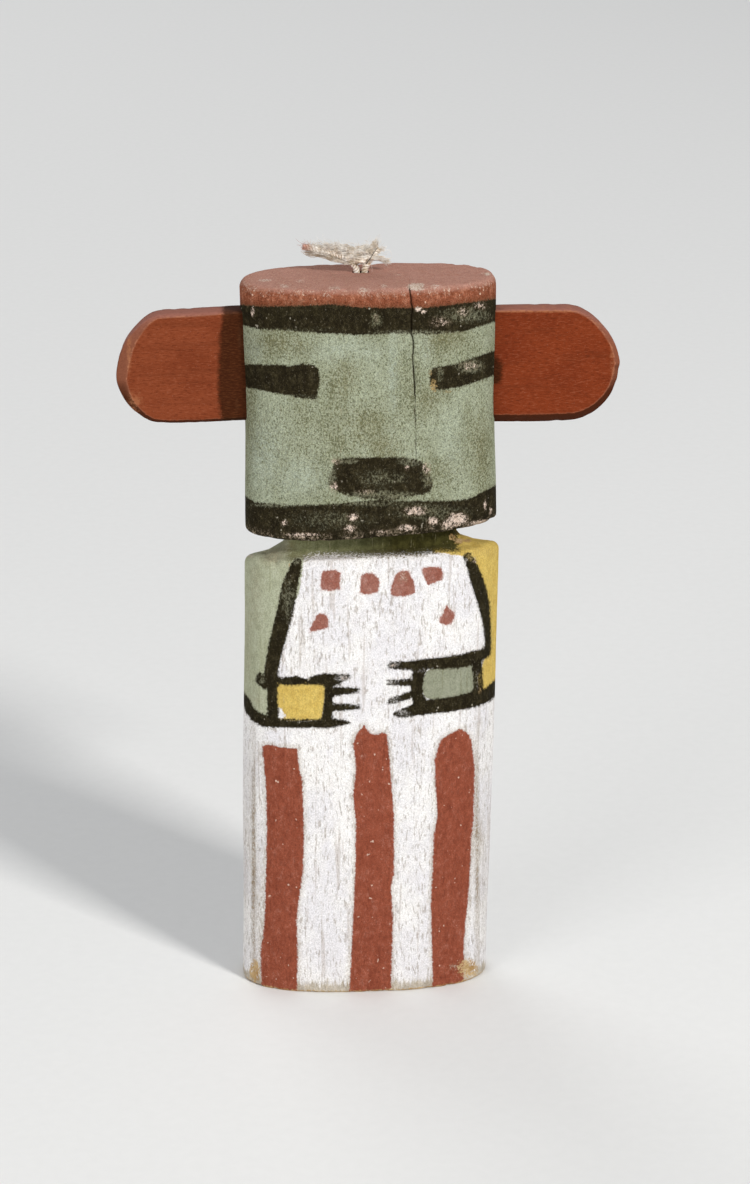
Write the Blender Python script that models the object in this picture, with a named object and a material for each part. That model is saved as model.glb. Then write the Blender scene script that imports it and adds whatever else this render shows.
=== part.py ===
"""A carved and painted wooden kachina doll with two ear tabs and a hanging string.

The doll faces -Y and stands on Z = 0. Its own left ear is at +X, but the parts are named as the viewer
sees them. Every length is in metres.
"""

import math

import bpy
from mathutils import Vector

# The carved block, from the ground up
HEIGHT = 0.1800
BASE_WIDTH = 0.0609
WAIST_WIDTH = 0.0615
SHOULDER_WIDTH = 0.0611
HEAD_BOTTOM_WIDTH = 0.0600
HEAD_WIDTH = 0.0589
CROWN_WIDTH = 0.0598
BODY_DEPTH = 0.0254
HEAD_DEPTH = 0.0250
BASE_ROUND = 0.0007
CROWN_ROUND = 0.0020
CROWN_FALL = 0.0005

# The neck cut
SHOULDER_HEIGHT = 0.1106
SHOULDER_FORWARD_RISE = 0.0033
SHOULDER_SIDE_RISE = 0.0011
SHOULDER_ROUND = 0.0020
BREAST_ROUND = 0.0009
NECK_WIDTH = 0.0401
NECK_DEPTH = 0.0168
NECK_ROOT_HEIGHT = 0.1146
HEAD_BOTTOM = 0.1184
HEAD_BOTTOM_RISE = 0.0019
CHIN_ROUND = 0.0009

# The ear tabs and the shallow slots that hold their inner ends
LEFT_EAR_REACH = 0.0589
LEFT_EAR_HEIGHT = 0.0280
LEFT_EAR_DROP = 0.0215
LEFT_EAR_THICKNESS = 0.0060
RIGHT_EAR_REACH = 0.0589
RIGHT_EAR_HEIGHT = 0.0290
RIGHT_EAR_DROP = 0.0223
RIGHT_EAR_THICKNESS = 0.0055
EAR_BEVEL = 0.0010
SLOT_DEPTH = 0.0030
CLEARANCE = 0.0003

# The hanging string and the hole in the crown that it passes through
STRING_DIAMETER = 0.0016
HOLE_X = -0.0017
HOLE_Y = 0.0037
HOLE_DEPTH = 0.0075

# Shares and counts that shape the carving
SECTION_POWER = 2.45
NECK_POWER = 3.0
FLAT_SHARPNESS = 60.0
FLAT_FADE = 0.035
BODY_LEAN = 0.0175
BODY_UPRIGHT_HEIGHT = 0.0715
HEAD_LEAN = 0.011
HEAD_UPRIGHT_HEIGHT = 0.162
SECTION_STEPS = 60
EAR_STEPS = 14
STRING_STEPS = 52

# Knife flats along the body's front corners: their direction and their distance as a share of its half width
BODY_FLATS = ((math.radians(203.6), 0.940), (math.radians(-31.8), 0.880))


def blend(low, high, share):
    """The value between low and high, with soft ends."""
    share = min(max(share, 0.0), 1.0)
    return low + (high - low) * share * share * (3.0 - 2.0 * share)


def section(turn, width, depth, power, flats=()):
    """A point of a rounded upright section: turn 0 is +X and a quarter turn is the back."""
    away = Vector((width / 2 * math.cos(turn), depth / 2 * math.sin(turn), 0.0)).normalized()
    across = abs(2 * away.x / width) ** power + abs(2 * away.y / depth) ** power
    reach = across ** (-1.0 / power)
    for direction, share in flats:
        facing = away.x * math.cos(direction) + away.y * math.sin(direction)
        if facing > 0.0:
            flat = share * width / 2 / facing
            reach = (reach ** -FLAT_SHARPNESS + flat ** -FLAT_SHARPNESS) ** (-1.0 / FLAT_SHARPNESS)
    return away * reach


def lean(height):
    """How far the block's middle stands to +X at a height: the body leans one way and the head the other."""
    if height < HEAD_BOTTOM:
        return (height - BODY_UPRIGHT_HEIGHT) * BODY_LEAN
    return (HEAD_UPRIGHT_HEIGHT - height) * HEAD_LEAN


def body_width(height):
    """The body's width, fullest at the waist."""
    waist = SHOULDER_HEIGHT / 2
    if height < waist:
        return blend(BASE_WIDTH, WAIST_WIDTH, height / waist)
    return blend(WAIST_WIDTH, SHOULDER_WIDTH, (height - waist) / waist)


def head_width(height):
    """The head's width, slightly drawn in at the eyes."""
    middle = (HEAD_BOTTOM + HEIGHT) / 2
    if height < middle:
        return blend(HEAD_BOTTOM_WIDTH, HEAD_WIDTH, (height - HEAD_BOTTOM) / (middle - HEAD_BOTTOM))
    return blend(HEAD_WIDTH, CROWN_WIDTH, (height - middle) / (HEIGHT - middle))


def drawn_in(point, amount):
    """The point moved towards the section's middle."""
    return point * (1.0 - amount / point.length)


def stand(point, height):
    """A section's point at its place on the leaning block."""
    return Vector((point.x + lean(height), point.y, height))


def body_at(turn, height, inset=0.0):
    """The body's wall, whose knife flats run out towards the base."""
    fade = blend(FLAT_FADE, 0.0, height * 6 / SHOULDER_HEIGHT)
    flats = [(direction, share + fade) for direction, share in BODY_FLATS]
    point = section(turn, body_width(height), BODY_DEPTH, SECTION_POWER, flats)
    return drawn_in(point, inset)


def head_at(turn, height, inset=0.0):
    return drawn_in(section(turn, head_width(height), HEAD_DEPTH, SECTION_POWER), inset)


def neck_at(turn):
    return section(turn, NECK_WIDTH, NECK_DEPTH, NECK_POWER)


def shoulder_edge(turn):
    """The height where the body's side ends: higher in front and at the right, lowest behind."""
    return SHOULDER_HEIGHT - SHOULDER_FORWARD_RISE * math.sin(turn) + SHOULDER_SIDE_RISE * math.cos(turn)


def shoulder_round(turn):
    """The shoulder's rounding, which is small along the front where the groove begins."""
    return blend(SHOULDER_ROUND, BREAST_ROUND, -math.sin(turn) * 1.6 - 0.5)


def head_underside(turn):
    """The head's lower edge rises towards the right."""
    return HEAD_BOTTOM + blend(0.0, HEAD_BOTTOM_RISE, (math.cos(turn) + 0.7) / 1.5)


def crown(point):
    """How far the crown's slanting top lies below the full height at a point of its section."""
    return CROWN_FALL * (0.5 - point.x / CROWN_WIDTH)


def profile(turn):
    """The block's outline on one side, from the underside's rim to the crown's."""
    points = []
    for step in range(4):
        angle = math.radians(30 * step)
        inset = BASE_ROUND * (1 - math.sin(angle))
        height = BASE_ROUND * (1 - math.cos(angle))
        points.append(stand(body_at(turn, height, inset), height))
    edge = shoulder_edge(turn)
    for step in range(1, 9):
        height = BASE_ROUND + (edge - BASE_ROUND) * step / 8
        points.append(stand(body_at(turn, height), height))
    rounding = shoulder_round(turn)
    for step in range(1, 4):
        angle = math.radians(30 * step)
        height = edge + rounding * math.sin(angle)
        points.append(stand(body_at(turn, edge, rounding * (1 - math.cos(angle))), height))
    shelf = body_at(turn, edge, rounding)
    neck = neck_at(turn)
    for share, climb in ((0.45, 0.2), (0.85, 0.55), (1.0, 1.0)):
        height = edge + rounding + (NECK_ROOT_HEIGHT + rounding - edge - rounding) * climb
        points.append(stand(shelf.lerp(neck, share), height))
    under = head_underside(turn)
    points.append(stand(neck, under - CHIN_ROUND / 2))
    chin = head_at(turn, under, CHIN_ROUND)
    points.append(stand(neck.lerp(chin, 0.08), under))
    points.append(stand(neck.lerp(chin, 0.6), under))
    for step in range(3):
        angle = math.radians(45 * step)
        height = under + CHIN_ROUND * (1 - math.cos(angle))
        points.append(stand(head_at(turn, under, CHIN_ROUND * (1 - math.sin(angle))), height))
    start = under + CHIN_ROUND
    top = HEIGHT - CROWN_ROUND
    for step in range(1, 8):
        side = head_at(turn, start + (top - start) * step / 7)
        points.append(stand(side, start + (top - crown(side) - start) * step / 7))
    for step in range(1, 5):
        angle = math.radians(22.5 * step)
        rim = head_at(turn, top, CROWN_ROUND * (1 - math.cos(angle)))
        points.append(stand(rim, top - crown(rim) + CROWN_ROUND * math.sin(angle)))
    return points


def material(name, colour, roughness):
    """A plain finish for one part."""
    finish = bpy.data.materials.new(name)
    finish.use_nodes = True
    shader = finish.node_tree.nodes["Principled BSDF"]
    shader.inputs["Base Color"].default_value = (*colour, 1.0)
    shader.inputs["Roughness"].default_value = roughness
    shader.inputs["Metallic"].default_value = 0.0
    return finish


def place(name, mesh, finish):
    """Puts a mesh into the scene as one named part."""
    part = bpy.data.objects.new(name, mesh)
    bpy.context.scene.collection.objects.link(part)
    mesh.materials.append(finish)
    return part


def cut(part, name, cutter):
    """Takes the cutter's shape out of the part."""
    cutter.hide_render = True
    cutter.display_type = "WIRE"
    cutting = part.modifiers.new(name, "BOOLEAN")
    cutting.operation = "DIFFERENCE"
    cutting.solver = "EXACT"
    cutting.object = cutter


def build_figure(finish):
    """Head, neck, body and skirt, carved from one block."""
    turns = [2 * math.pi * step / SECTION_STEPS for step in range(SECTION_STEPS)]
    columns = [profile(turn) for turn in turns]
    rows = len(columns[0])
    corners = [point for column in columns for point in column]
    faces = []
    for step in range(SECTION_STEPS):
        here = step * rows
        there = (step + 1) % SECTION_STEPS * rows
        for row in range(rows - 1):
            faces.append((here + row, there + row, there + row + 1, here + row + 1))
    faces.append([step * rows for step in reversed(range(SECTION_STEPS))])
    faces.append([step * rows + rows - 1 for step in range(SECTION_STEPS)])
    mesh = bpy.data.meshes.new("figure")
    mesh.from_pydata(corners, [], faces)
    mesh.shade_smooth()
    mesh.set_sharp_from_angle(angle=math.radians(40))
    return place("figure", mesh, finish)


def stadium(start, reach, half_height, middle):
    """A tab's outline: square at its inner end and half round at its tip."""
    centre = reach - half_height
    outline = [(start, middle - half_height)]
    for step in range(EAR_STEPS + 1):
        angle = math.radians(-90 + 180 * step / EAR_STEPS)
        outline.append((centre + half_height * math.cos(angle), middle + half_height * math.sin(angle)))
    outline.append((start, middle + half_height))
    return outline


def slab(name, outline, side, thickness, finish):
    """The outline drawn in X and Z, given a thickness in Y. Side is 1 at +X and -1 at -X."""
    count = len(outline)
    corners = [(side * x, side * thickness / 2, z) for x, z in outline]
    corners += [(side * x, -side * thickness / 2, z) for x, z in outline]
    faces = [list(reversed(range(count))), list(range(count, 2 * count))]
    for here in range(count):
        there = (here + 1) % count
        faces.append((here, there, count + there, count + here))
    mesh = bpy.data.meshes.new(name)
    mesh.from_pydata(corners, [], faces)
    mesh.shade_smooth()
    mesh.set_sharp_from_angle(angle=math.radians(35))
    return place(name, mesh, finish)


def soften(part, width):
    """Bevels the edges round a tab's two faces and leaves its round tip's own steps alone."""
    bevel = part.modifiers.new("worn edges", "BEVEL")
    bevel.width = width
    bevel.segments = 2
    bevel.limit_method = "ANGLE"
    bevel.angle_limit = math.radians(50)


def build_ear(name, side, reach, height, drop, thickness, finish, figure):
    """One ear tab, whose middle is a drop below the crown, and its slot in the side of the head."""
    middle = HEIGHT - drop
    head_side = head_width(middle) / 2 + side * lean(middle)
    start = head_side - SLOT_DEPTH + CLEARANCE
    outline = stadium(start, reach, height / 2, middle)
    ear = slab(name, outline, side, thickness, finish)
    soften(ear, EAR_BEVEL)
    around = stadium(start - CLEARANCE, reach + CLEARANCE, height / 2 + CLEARANCE, middle)
    slot = slab(name + "_slot", around, side, thickness + 2 * CLEARANCE, finish)
    soften(slot, EAR_BEVEL)
    cut(figure, name + " slot", slot)
    return ear


def string_spacing():
    """Half the distance between the string's two runs in the hole."""
    return (STRING_DIAMETER + CLEARANCE) / 2


def build_hole(finish, figure):
    """The upright hole in the crown, wide enough for two runs of the string side by side."""
    half = STRING_DIAMETER / 2 + CLEARANCE
    outline = []
    for end in (1, -1):
        for step in range(9):
            angle = math.radians(-90 + 22.5 * step) + (0.0 if end == 1 else math.pi)
            outline.append((end * string_spacing() + half * math.cos(angle), half * math.sin(angle)))
    count = len(outline)
    levels = (HEIGHT - HOLE_DEPTH, HEIGHT + CROWN_ROUND)
    corners = [(HOLE_X + x, HOLE_Y + y, z) for z in levels for x, y in outline]
    faces = [list(reversed(range(count))), list(range(count, 2 * count))]
    for here in range(count):
        there = (here + 1) % count
        faces.append((here, there, count + there, count + here))
    mesh = bpy.data.meshes.new("string_hole")
    mesh.from_pydata(corners, [], faces)
    hole = place("string_hole", mesh, finish)
    cut(figure, "string hole", hole)


def string_route():
    """The string's own points, from its left end down through the hole and up to its right end."""
    run = string_spacing()
    floor = STRING_DIAMETER / 2 + CLEARANCE - HOLE_DEPTH
    shape = (
        (-0.0133, 0.0013, 0.0056),
        (-0.0100, 0.0009, 0.0051),
        (-0.0067, 0.0005, 0.0043),
        (-0.0036, 0.0002, 0.0031),
        (-0.0017, 0.0000, 0.0016),
        (-run, 0.0, 0.0),
        (-run, 0.0, floor + 2 * run),
        (-run * 0.72, 0.0, floor + 0.3 * run),
        (0.0, 0.0, floor),
        (run * 0.72, 0.0, floor + 0.3 * run),
        (run, 0.0, floor + 2 * run),
        (run, 0.0, 0.0),
        (0.0016, 0.0000, 0.0016),
        (0.0027, 0.0003, 0.0032),
        (0.0043, 0.0008, 0.0049),
    )
    start = Vector((HOLE_X, HOLE_Y, HEIGHT))
    return [start + Vector(point) for point in shape]


def smooth_route(points, steps):
    """Points spaced evenly by index along a smooth curve through the given ones."""
    ends = [2 * points[0] - points[1]] + points + [2 * points[-1] - points[-2]]
    spans = len(points) - 1
    route = []
    for step in range(steps + 1):
        place_on = spans * step / steps
        span = min(int(place_on), spans - 1)
        share = place_on - span
        before, here, there, after = ends[span:span + 4]
        bend = 2 * before - 5 * here + 4 * there - after
        swing = 3 * here - before - 3 * there + after
        route.append((2 * here + (there - before) * share + bend * share ** 2 + swing * share ** 3) / 2)
    return route


def build_string(finish):
    """The string as one plain tube along its route."""
    route = smooth_route(string_route(), STRING_STEPS)
    curve = bpy.data.curves.new("hanging_string", "CURVE")
    curve.dimensions = "3D"
    curve.bevel_depth = STRING_DIAMETER / 2
    curve.bevel_resolution = 2
    curve.use_fill_caps = True
    spline = curve.splines.new("POLY")
    spline.points.add(len(route) - 1)
    for point, spot in zip(spline.points, route):
        point.co = (*spot, 1.0)
    curve.materials.append(finish)
    string = bpy.data.objects.new("hanging_string", curve)
    bpy.context.scene.collection.objects.link(string)
    return string


def build():
    """Clears the scene and builds the doll."""
    for old in list(bpy.data.objects):
        bpy.data.objects.remove(old)
    painted = material("painted_wood", (0.74, 0.72, 0.69), 0.85)
    red = material("red_paint", (0.36, 0.085, 0.055), 0.72)
    fibre = material("cotton_string", (0.72, 0.66, 0.54), 0.9)
    figure = build_figure(painted)
    left = (LEFT_EAR_REACH, LEFT_EAR_HEIGHT, LEFT_EAR_DROP, LEFT_EAR_THICKNESS)
    right = (RIGHT_EAR_REACH, RIGHT_EAR_HEIGHT, RIGHT_EAR_DROP, RIGHT_EAR_THICKNESS)
    build_ear("left_ear", -1, *left, red, figure)
    build_ear("right_ear", 1, *right, red, figure)
    build_hole(painted, figure)
    build_string(fibre)


build()
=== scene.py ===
import math

import bpy
import numpy as np
from mathutils import Matrix, Vector, noise


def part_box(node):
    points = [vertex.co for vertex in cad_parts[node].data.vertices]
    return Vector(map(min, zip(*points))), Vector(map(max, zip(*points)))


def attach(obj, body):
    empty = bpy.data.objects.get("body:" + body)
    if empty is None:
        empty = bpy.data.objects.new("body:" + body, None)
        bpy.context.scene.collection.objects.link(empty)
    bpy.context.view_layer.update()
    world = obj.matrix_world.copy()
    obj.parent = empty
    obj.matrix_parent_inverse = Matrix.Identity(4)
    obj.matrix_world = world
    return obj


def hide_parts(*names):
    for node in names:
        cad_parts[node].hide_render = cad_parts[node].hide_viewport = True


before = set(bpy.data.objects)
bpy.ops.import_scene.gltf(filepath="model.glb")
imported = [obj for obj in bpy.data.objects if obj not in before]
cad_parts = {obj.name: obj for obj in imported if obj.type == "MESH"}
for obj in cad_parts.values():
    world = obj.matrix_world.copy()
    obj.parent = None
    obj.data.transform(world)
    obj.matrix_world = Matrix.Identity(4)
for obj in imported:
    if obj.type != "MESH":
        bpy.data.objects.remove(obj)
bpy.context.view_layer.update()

# A carved and painted wooden kachina doll. Lengths are in metres, and paint outlines are in pixels of the
# photograph's 750 x 1184 frame. Every point of the carved surface is looked up there through the camera.

# The camera, as fitted to the doll's outline
PHOTO_SIZE = (750, 1184)
PHOTO_FOCUS = 3300.0
CAMERA_RISE = math.radians(20.5)
CAMERA_TURN = math.radians(-3.5)
CAMERA_AIM = Vector((0.0007, -0.0120, 0.1057))
PIXEL_ON_DOLL = 0.000237
SENSOR = 36.0

# The studio's lights: name, direction from the doll, size, power and colour
LIGHTS = (
    ("key_light", (0.85, -1.0, 0.92), 0.38, 42.0, (1.0, 0.985, 0.96)),
    ("fill_light", (-0.95, -1.0, 0.30), 1.3, 25.0, (1.0, 0.99, 0.98)),
    ("back_light", (-0.5, 1.0, 0.85), 1.3, 13.0, (1.0, 0.99, 0.98)),
)
LIGHT_DISTANCE = 2.4
ROOM_COLOUR = (0.80, 0.82, 0.85, 1.0)
ROOM_STRENGTH = 0.50
FLOOR_REACH = 6.0
FLOOR_TONES = ((0.76, 0.76, 0.75), (0.80, 0.80, 0.79))
FLOOR_NOISES = {"fleck": (3.0, 1.0, 4.0, 0.55)}

# The carved block, with the same sizes as its solid
HEIGHT = 0.1800
BASE_WIDTH = 0.0609
WAIST_WIDTH = 0.0615
SHOULDER_WIDTH = 0.0611
HEAD_BOTTOM_WIDTH = 0.0600
HEAD_WIDTH = 0.0589
CROWN_WIDTH = 0.0598
BODY_DEPTH = 0.0254
HEAD_DEPTH = 0.0250
BASE_ROUND = 0.0007
CROWN_ROUND = 0.0020
CROWN_FALL = 0.0005
SHOULDER_HEIGHT = 0.1106
SHOULDER_FORWARD_RISE = 0.0033
SHOULDER_SIDE_RISE = 0.0011
SHOULDER_ROUND = 0.0020
BREAST_ROUND = 0.0009
NECK_WIDTH = 0.0401
NECK_DEPTH = 0.0168
NECK_ROOT_HEIGHT = 0.1146
HEAD_BOTTOM = 0.1184
HEAD_BOTTOM_RISE = 0.0019
CHIN_ROUND = 0.0009
SECTION_POWER = 2.45
NECK_POWER = 3.0
FLAT_SHARPNESS = 60.0
FLAT_FADE = 0.035
BODY_LEAN = 0.0175
BODY_UPRIGHT_HEIGHT = 0.0715
HEAD_LEAN = 0.011
HEAD_UPRIGHT_HEIGHT = 0.162
BODY_FLATS = ((math.radians(203.6), 0.940), (math.radians(-31.8), 0.880))

# How finely the block's surface is divided. Shares are from a zone's inner edge to its outer edge.
TURN_STEPS = 300
CRACK_STEPS = 22
CRACK_SPAN = (406, 420)
CRACK_HEIGHT = 0.150
TURN_GAP = 0.004
BODY_ROWS = 118
HEAD_ROWS = 78
CROWN_ROWS = 22
SHELF_ROWS = 18
BASE_ANGLES = np.radians((0, 22.5, 45, 67.5, 90))
SHOULDER_ANGLES = np.radians((15, 30, 45, 60, 75, 90))
CHIN_ANGLES = np.radians((0, 20, 40, 60, 80))
RIM_ANGLES = np.radians(90 / 8 * np.arange(1, 9))
UNDERSIDE_SHARES = (0.02, 0.3, 0.6, 0.85, 0.95)
NECK_SHARES = (0.25, 0.5, 0.75, 0.95)
CHIN_SHARES = (0.05, 0.2, 0.4, 0.6, 0.8, 0.93)
SHELF_CLIMB = ((0.0, 0.45, 0.85, 1.0), (0.0, 0.2, 0.55, 1.0))

# The string and its hole, with the hole's rings as depths and insets
STRING_DIAMETER = 0.0016
CLEARANCE = 0.0003
HOLE_X = -0.0017
HOLE_Y = 0.0037
HOLE_DEPTH = 0.0075
HOLE_RINGS = (
    (0.0001, 0.00008), (0.0003, 0.00014), (0.0012, 0.00014), (0.0028, 0.00016), (0.0045, 0.0003),
)
STRING_STEPS = 156
STRING_PLIES = 3
PLY_PITCH = 0.0021

MM = 0.001


# Camera, lights and floor

def camera_axes():
    """The camera's back, right and up directions, and its place."""
    level = math.cos(CAMERA_RISE)
    back = Vector((math.sin(CAMERA_TURN) * level, -math.cos(CAMERA_TURN) * level, math.sin(CAMERA_RISE)))
    right = Vector((math.cos(CAMERA_TURN), math.sin(CAMERA_TURN), 0.0))
    up = back.cross(right)
    place = CAMERA_AIM + back * PHOTO_FOCUS * PIXEL_ON_DOLL
    return back, right, up, place


def make_camera():
    """A long lens a little above the doll and to its viewer's left."""
    back, right, up, place = camera_axes()
    lens = bpy.data.cameras.new("camera")
    lens.sensor_width = SENSOR
    lens.lens = SENSOR * PHOTO_FOCUS / PHOTO_SIZE[1]
    lens.clip_start = 0.01
    lens.clip_end = 10.0
    camera = bpy.data.objects.new("camera", lens)
    matrix = Matrix((right, up, back)).transposed().to_4x4()
    matrix.translation = place
    camera.matrix_world = matrix
    bpy.context.scene.collection.objects.link(camera)
    bpy.context.scene.camera = camera


def make_light(name, direction, size, power, colour):
    """A square soft light that faces the doll's middle from a direction."""
    lamp = bpy.data.lights.new(name, "AREA")
    lamp.shape = "SQUARE"
    lamp.size = size
    lamp.energy = power
    lamp.color = colour
    light = bpy.data.objects.new(name, lamp)
    away = Vector(direction).normalized()
    light.location = Vector((0.0, 0.0, HEIGHT / 2)) + away * LIGHT_DISTANCE
    light.rotation_mode = "QUATERNION"
    light.rotation_quaternion = (-away).to_track_quat("-Z", "Y")
    bpy.context.scene.collection.objects.link(light)


def make_studio():
    """A key light from the front right, broad fills from the front left and behind, a pale room and floor."""
    for light in LIGHTS:
        make_light(*light)
    world = bpy.data.worlds.new("room")
    world.use_nodes = True
    room = world.node_tree.nodes["Background"].inputs
    room["Color"].default_value = ROOM_COLOUR
    room["Strength"].default_value = ROOM_STRENGTH
    bpy.context.scene.world = world
    bpy.context.scene.view_settings.view_transform = "Standard"

    corners = [(x * FLOOR_REACH, y * FLOOR_REACH, 0.0) for x, y in ((-1, -1), (1, -1), (1, 1), (-1, 1))]
    mesh = bpy.data.meshes.new("floor")
    mesh.from_pydata(corners, [], [(0, 1, 2, 3)])
    floor = bpy.data.objects.new("floor", mesh)
    bpy.context.scene.collection.objects.link(floor)
    paper = Finish("floor_paper")
    paper.finish(paper.mix(paper.noises(FLOOR_NOISES, 0)["fleck"], *FLOOR_TONES), roughness=0.9)
    mesh.materials.append(paper.material)


# Node materials

def along_axis(axis, stretch):
    """Scales for the three axes: a stretch along one of them and 1 along the others."""
    return np.where(np.arange(3) == axis, stretch, 1.0)


class Finish:
    """A material under construction. Its methods add nodes and hand back their output sockets."""

    def __init__(self, name):
        self.material = bpy.data.materials.new(name)
        self.material.use_nodes = True
        self.tree = self.material.node_tree
        self.shader = self.tree.nodes["Principled BSDF"]
        self.scaled = {}

    def put(self, socket, value):
        """Links a socket, or sets a plain value."""
        if isinstance(value, bpy.types.NodeSocket):
            self.tree.links.new(value, socket)
        elif isinstance(value, (tuple, list)) and len(value) == 3 and socket.type == "RGBA":
            socket.default_value = (*value, 1.0)
        else:
            socket.default_value = value

    def place(self, axis, stretch):
        """The surface's place in millimetres, stretched along one axis."""
        if (axis, stretch) not in self.scaled:
            source = self.tree.nodes.new("ShaderNodeTexCoord")
            mapping = self.tree.nodes.new("ShaderNodeMapping")
            mapping.inputs["Scale"].default_value = along_axis(axis, stretch) / MM
            self.tree.links.new(source.outputs["Object"], mapping.inputs["Vector"])
            self.scaled[axis, stretch] = mapping.outputs["Vector"]
        return self.scaled[axis, stretch]

    def noises(self, table, axis):
        """Cloudy noises from 0 to 1 by name.

        A row has the period in millimetres, the stretch along the axis, the detail and the roughness. It may
        end with the values between which its noise is sharpened.
        """
        made = {}
        for name, (period, stretch, detail, roughness, *ends) in table.items():
            node = self.tree.nodes.new("ShaderNodeTexNoise")
            self.tree.links.new(self.place(axis, stretch), node.inputs["Vector"])
            node.inputs["Scale"].default_value = 1.0 / period
            node.inputs["Detail"].default_value = detail
            node.inputs["Roughness"].default_value = roughness
            made[name] = self.ramp(node.outputs["Fac"], *ends) if ends else node.outputs["Fac"]
        return made

    def mask(self, name):
        """A number that the mesh carries at each point."""
        node = self.tree.nodes.new("ShaderNodeAttribute")
        node.attribute_name = name
        return node.outputs["Fac"]

    def math(self, operation, first, second=0.0, third=0.0):
        """The result of an operation on two or three numbers."""
        node = self.tree.nodes.new("ShaderNodeMath")
        node.operation = operation
        for socket, value in zip(node.inputs, (first, second, third)):
            self.put(socket, value)
        return node.outputs[0]

    def ramp(self, value, start, end, low=0.0, high=1.0):
        """Low up to start and high from end on, with a soft step between."""
        node = self.tree.nodes.new("ShaderNodeMapRange")
        node.interpolation_type = "SMOOTHSTEP"
        names = ("Value", "From Min", "From Max", "To Min", "To Max")
        for name, number in zip(names, (value, start, end, low, high)):
            self.put(node.inputs[name], number)
        return node.outputs["Result"]

    def mix(self, share, first, second, kind="MIX"):
        """The first colour turning into the second with the share."""
        node = self.tree.nodes.new("ShaderNodeMix")
        node.data_type = "RGBA"
        node.blend_type = kind
        self.put(node.inputs[0], share)
        self.put(node.inputs[6], first)
        self.put(node.inputs[7], second)
        return node.outputs[2]

    def over(self, colour, tone, amount, share):
        """The colour with some of a tone over it, where the amount is."""
        return self.mix(self.math("MULTIPLY", amount, share), colour, tone)

    def coat(self, noises, base, *layers):
        """A paint of two tones mixed by a noise, with thin tones over them.

        A layer has its noise's name, its share, its tone and the noise's values where it starts and is full.
        """
        colour = self.mix(noises[base[0]], base[1], base[2])
        for name, share, tone, *ends in layers:
            amount = self.ramp(noises[name], *ends) if ends else noises[name]
            colour = self.over(colour, tone, amount, share)
        return colour

    def inside(self, name, edge, reach=0.30, soft=0.12, grow=0.0):
        """1 inside a painted area. Its signed distance in millimetres is roughened by the edge noise."""
        rough = self.math("MULTIPLY_ADD", edge, 2.0 * reach, -reach - grow)
        distance = self.math("ADD", self.mask(name), rough)
        return self.ramp(distance, -soft, soft, 1.0, 0.0)

    def speckled(self, name, speckle, soft=0.12):
        """The share that a patchy mask shows, broken up into the speckle noise's grains."""
        shown = self.math("MULTIPLY", self.mask(name), self.math("MULTIPLY_ADD", speckle, 1.5, 0.25))
        return self.ramp(shown, 0.5 - soft, 0.5 + soft)

    def shade(self, colour, value, low, high):
        """The colour made darker to brighter by a value from 0 to 1."""
        return self.mix(1.0, colour, self.ramp(value, 0.0, 1.0, low, high), "MULTIPLY")

    def heap(self, *parts):
        """The sum of heights, each a value with its size in millimetres."""
        height = self.math("MULTIPLY", *parts[0])
        for value, size in parts[1:]:
            height = self.math("MULTIPLY_ADD", value, size, height)
        return height

    def finish(self, colour, roughness=0.8, height=None, strength=1.0, gloss=0.05):
        """Joins the colour, roughness and relief in millimetres to the shader."""
        self.put(self.shader.inputs["Base Color"], colour)
        self.put(self.shader.inputs["Roughness"], roughness)
        self.shader.inputs["Specular IOR Level"].default_value = gloss
        if height is not None:
            bump = self.tree.nodes.new("ShaderNodeBump")
            bump.inputs["Strength"].default_value = strength
            bump.inputs["Distance"].default_value = MM
            self.tree.links.new(height, bump.inputs["Height"])
            self.tree.links.new(bump.outputs["Normal"], self.shader.inputs["Normal"])


# The carved block's shape

def blend(low, high, share):
    """The value between low and high, with soft ends."""
    share = np.clip(share, 0.0, 1.0)
    return low + (high - low) * share * share * (3.0 - 2.0 * share)


def section(turns, width, depth, power, flats=()):
    """Points of a rounded upright section: turn 0 is +X and a quarter turn is the back."""
    x = width / 2 * np.cos(turns)
    y = depth / 2 * np.sin(turns)
    far = np.hypot(x, y)
    x, y = x / far, y / far
    reach = (np.abs(2 * x / width) ** power + np.abs(2 * y / depth) ** power) ** (-1.0 / power)
    for direction, share in flats:
        facing = np.maximum(x * math.cos(direction) + y * math.sin(direction), 1e-3)
        flat = share * width / 2 / facing
        reach = (reach ** -FLAT_SHARPNESS + flat ** -FLAT_SHARPNESS) ** (-1.0 / FLAT_SHARPNESS)
    return np.stack([x * reach, y * reach], -1)


def lean(height):
    """How far the block's middle stands to +X at a height."""
    body = (height - BODY_UPRIGHT_HEIGHT) * BODY_LEAN
    head = (HEAD_UPRIGHT_HEIGHT - height) * HEAD_LEAN
    return np.where(height < HEAD_BOTTOM, body, head)


def three_widths(height, half, bottom, middle, top):
    """The width at a height, which goes from one width over a second to a third in two equal halves."""
    low = blend(bottom, middle, height / half)
    high = blend(middle, top, (height - half) / half)
    return np.where(height < half, low, high)


def drawn_in(points, amount):
    """Section points moved towards the section's middle."""
    return points * (1.0 - amount / np.hypot(points[:, 0], points[:, 1]))[:, None]


def body_at(turns, height, inset=0.0):
    """The body's wall, fullest at the waist, whose knife flats run out towards the base."""
    width = three_widths(height, SHOULDER_HEIGHT / 2, BASE_WIDTH, WAIST_WIDTH, SHOULDER_WIDTH)
    fade = blend(FLAT_FADE, 0.0, height * 6 / SHOULDER_HEIGHT)
    flats = [(direction, share + fade) for direction, share in BODY_FLATS]
    return drawn_in(section(turns, width, BODY_DEPTH, SECTION_POWER, flats), inset)


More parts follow.
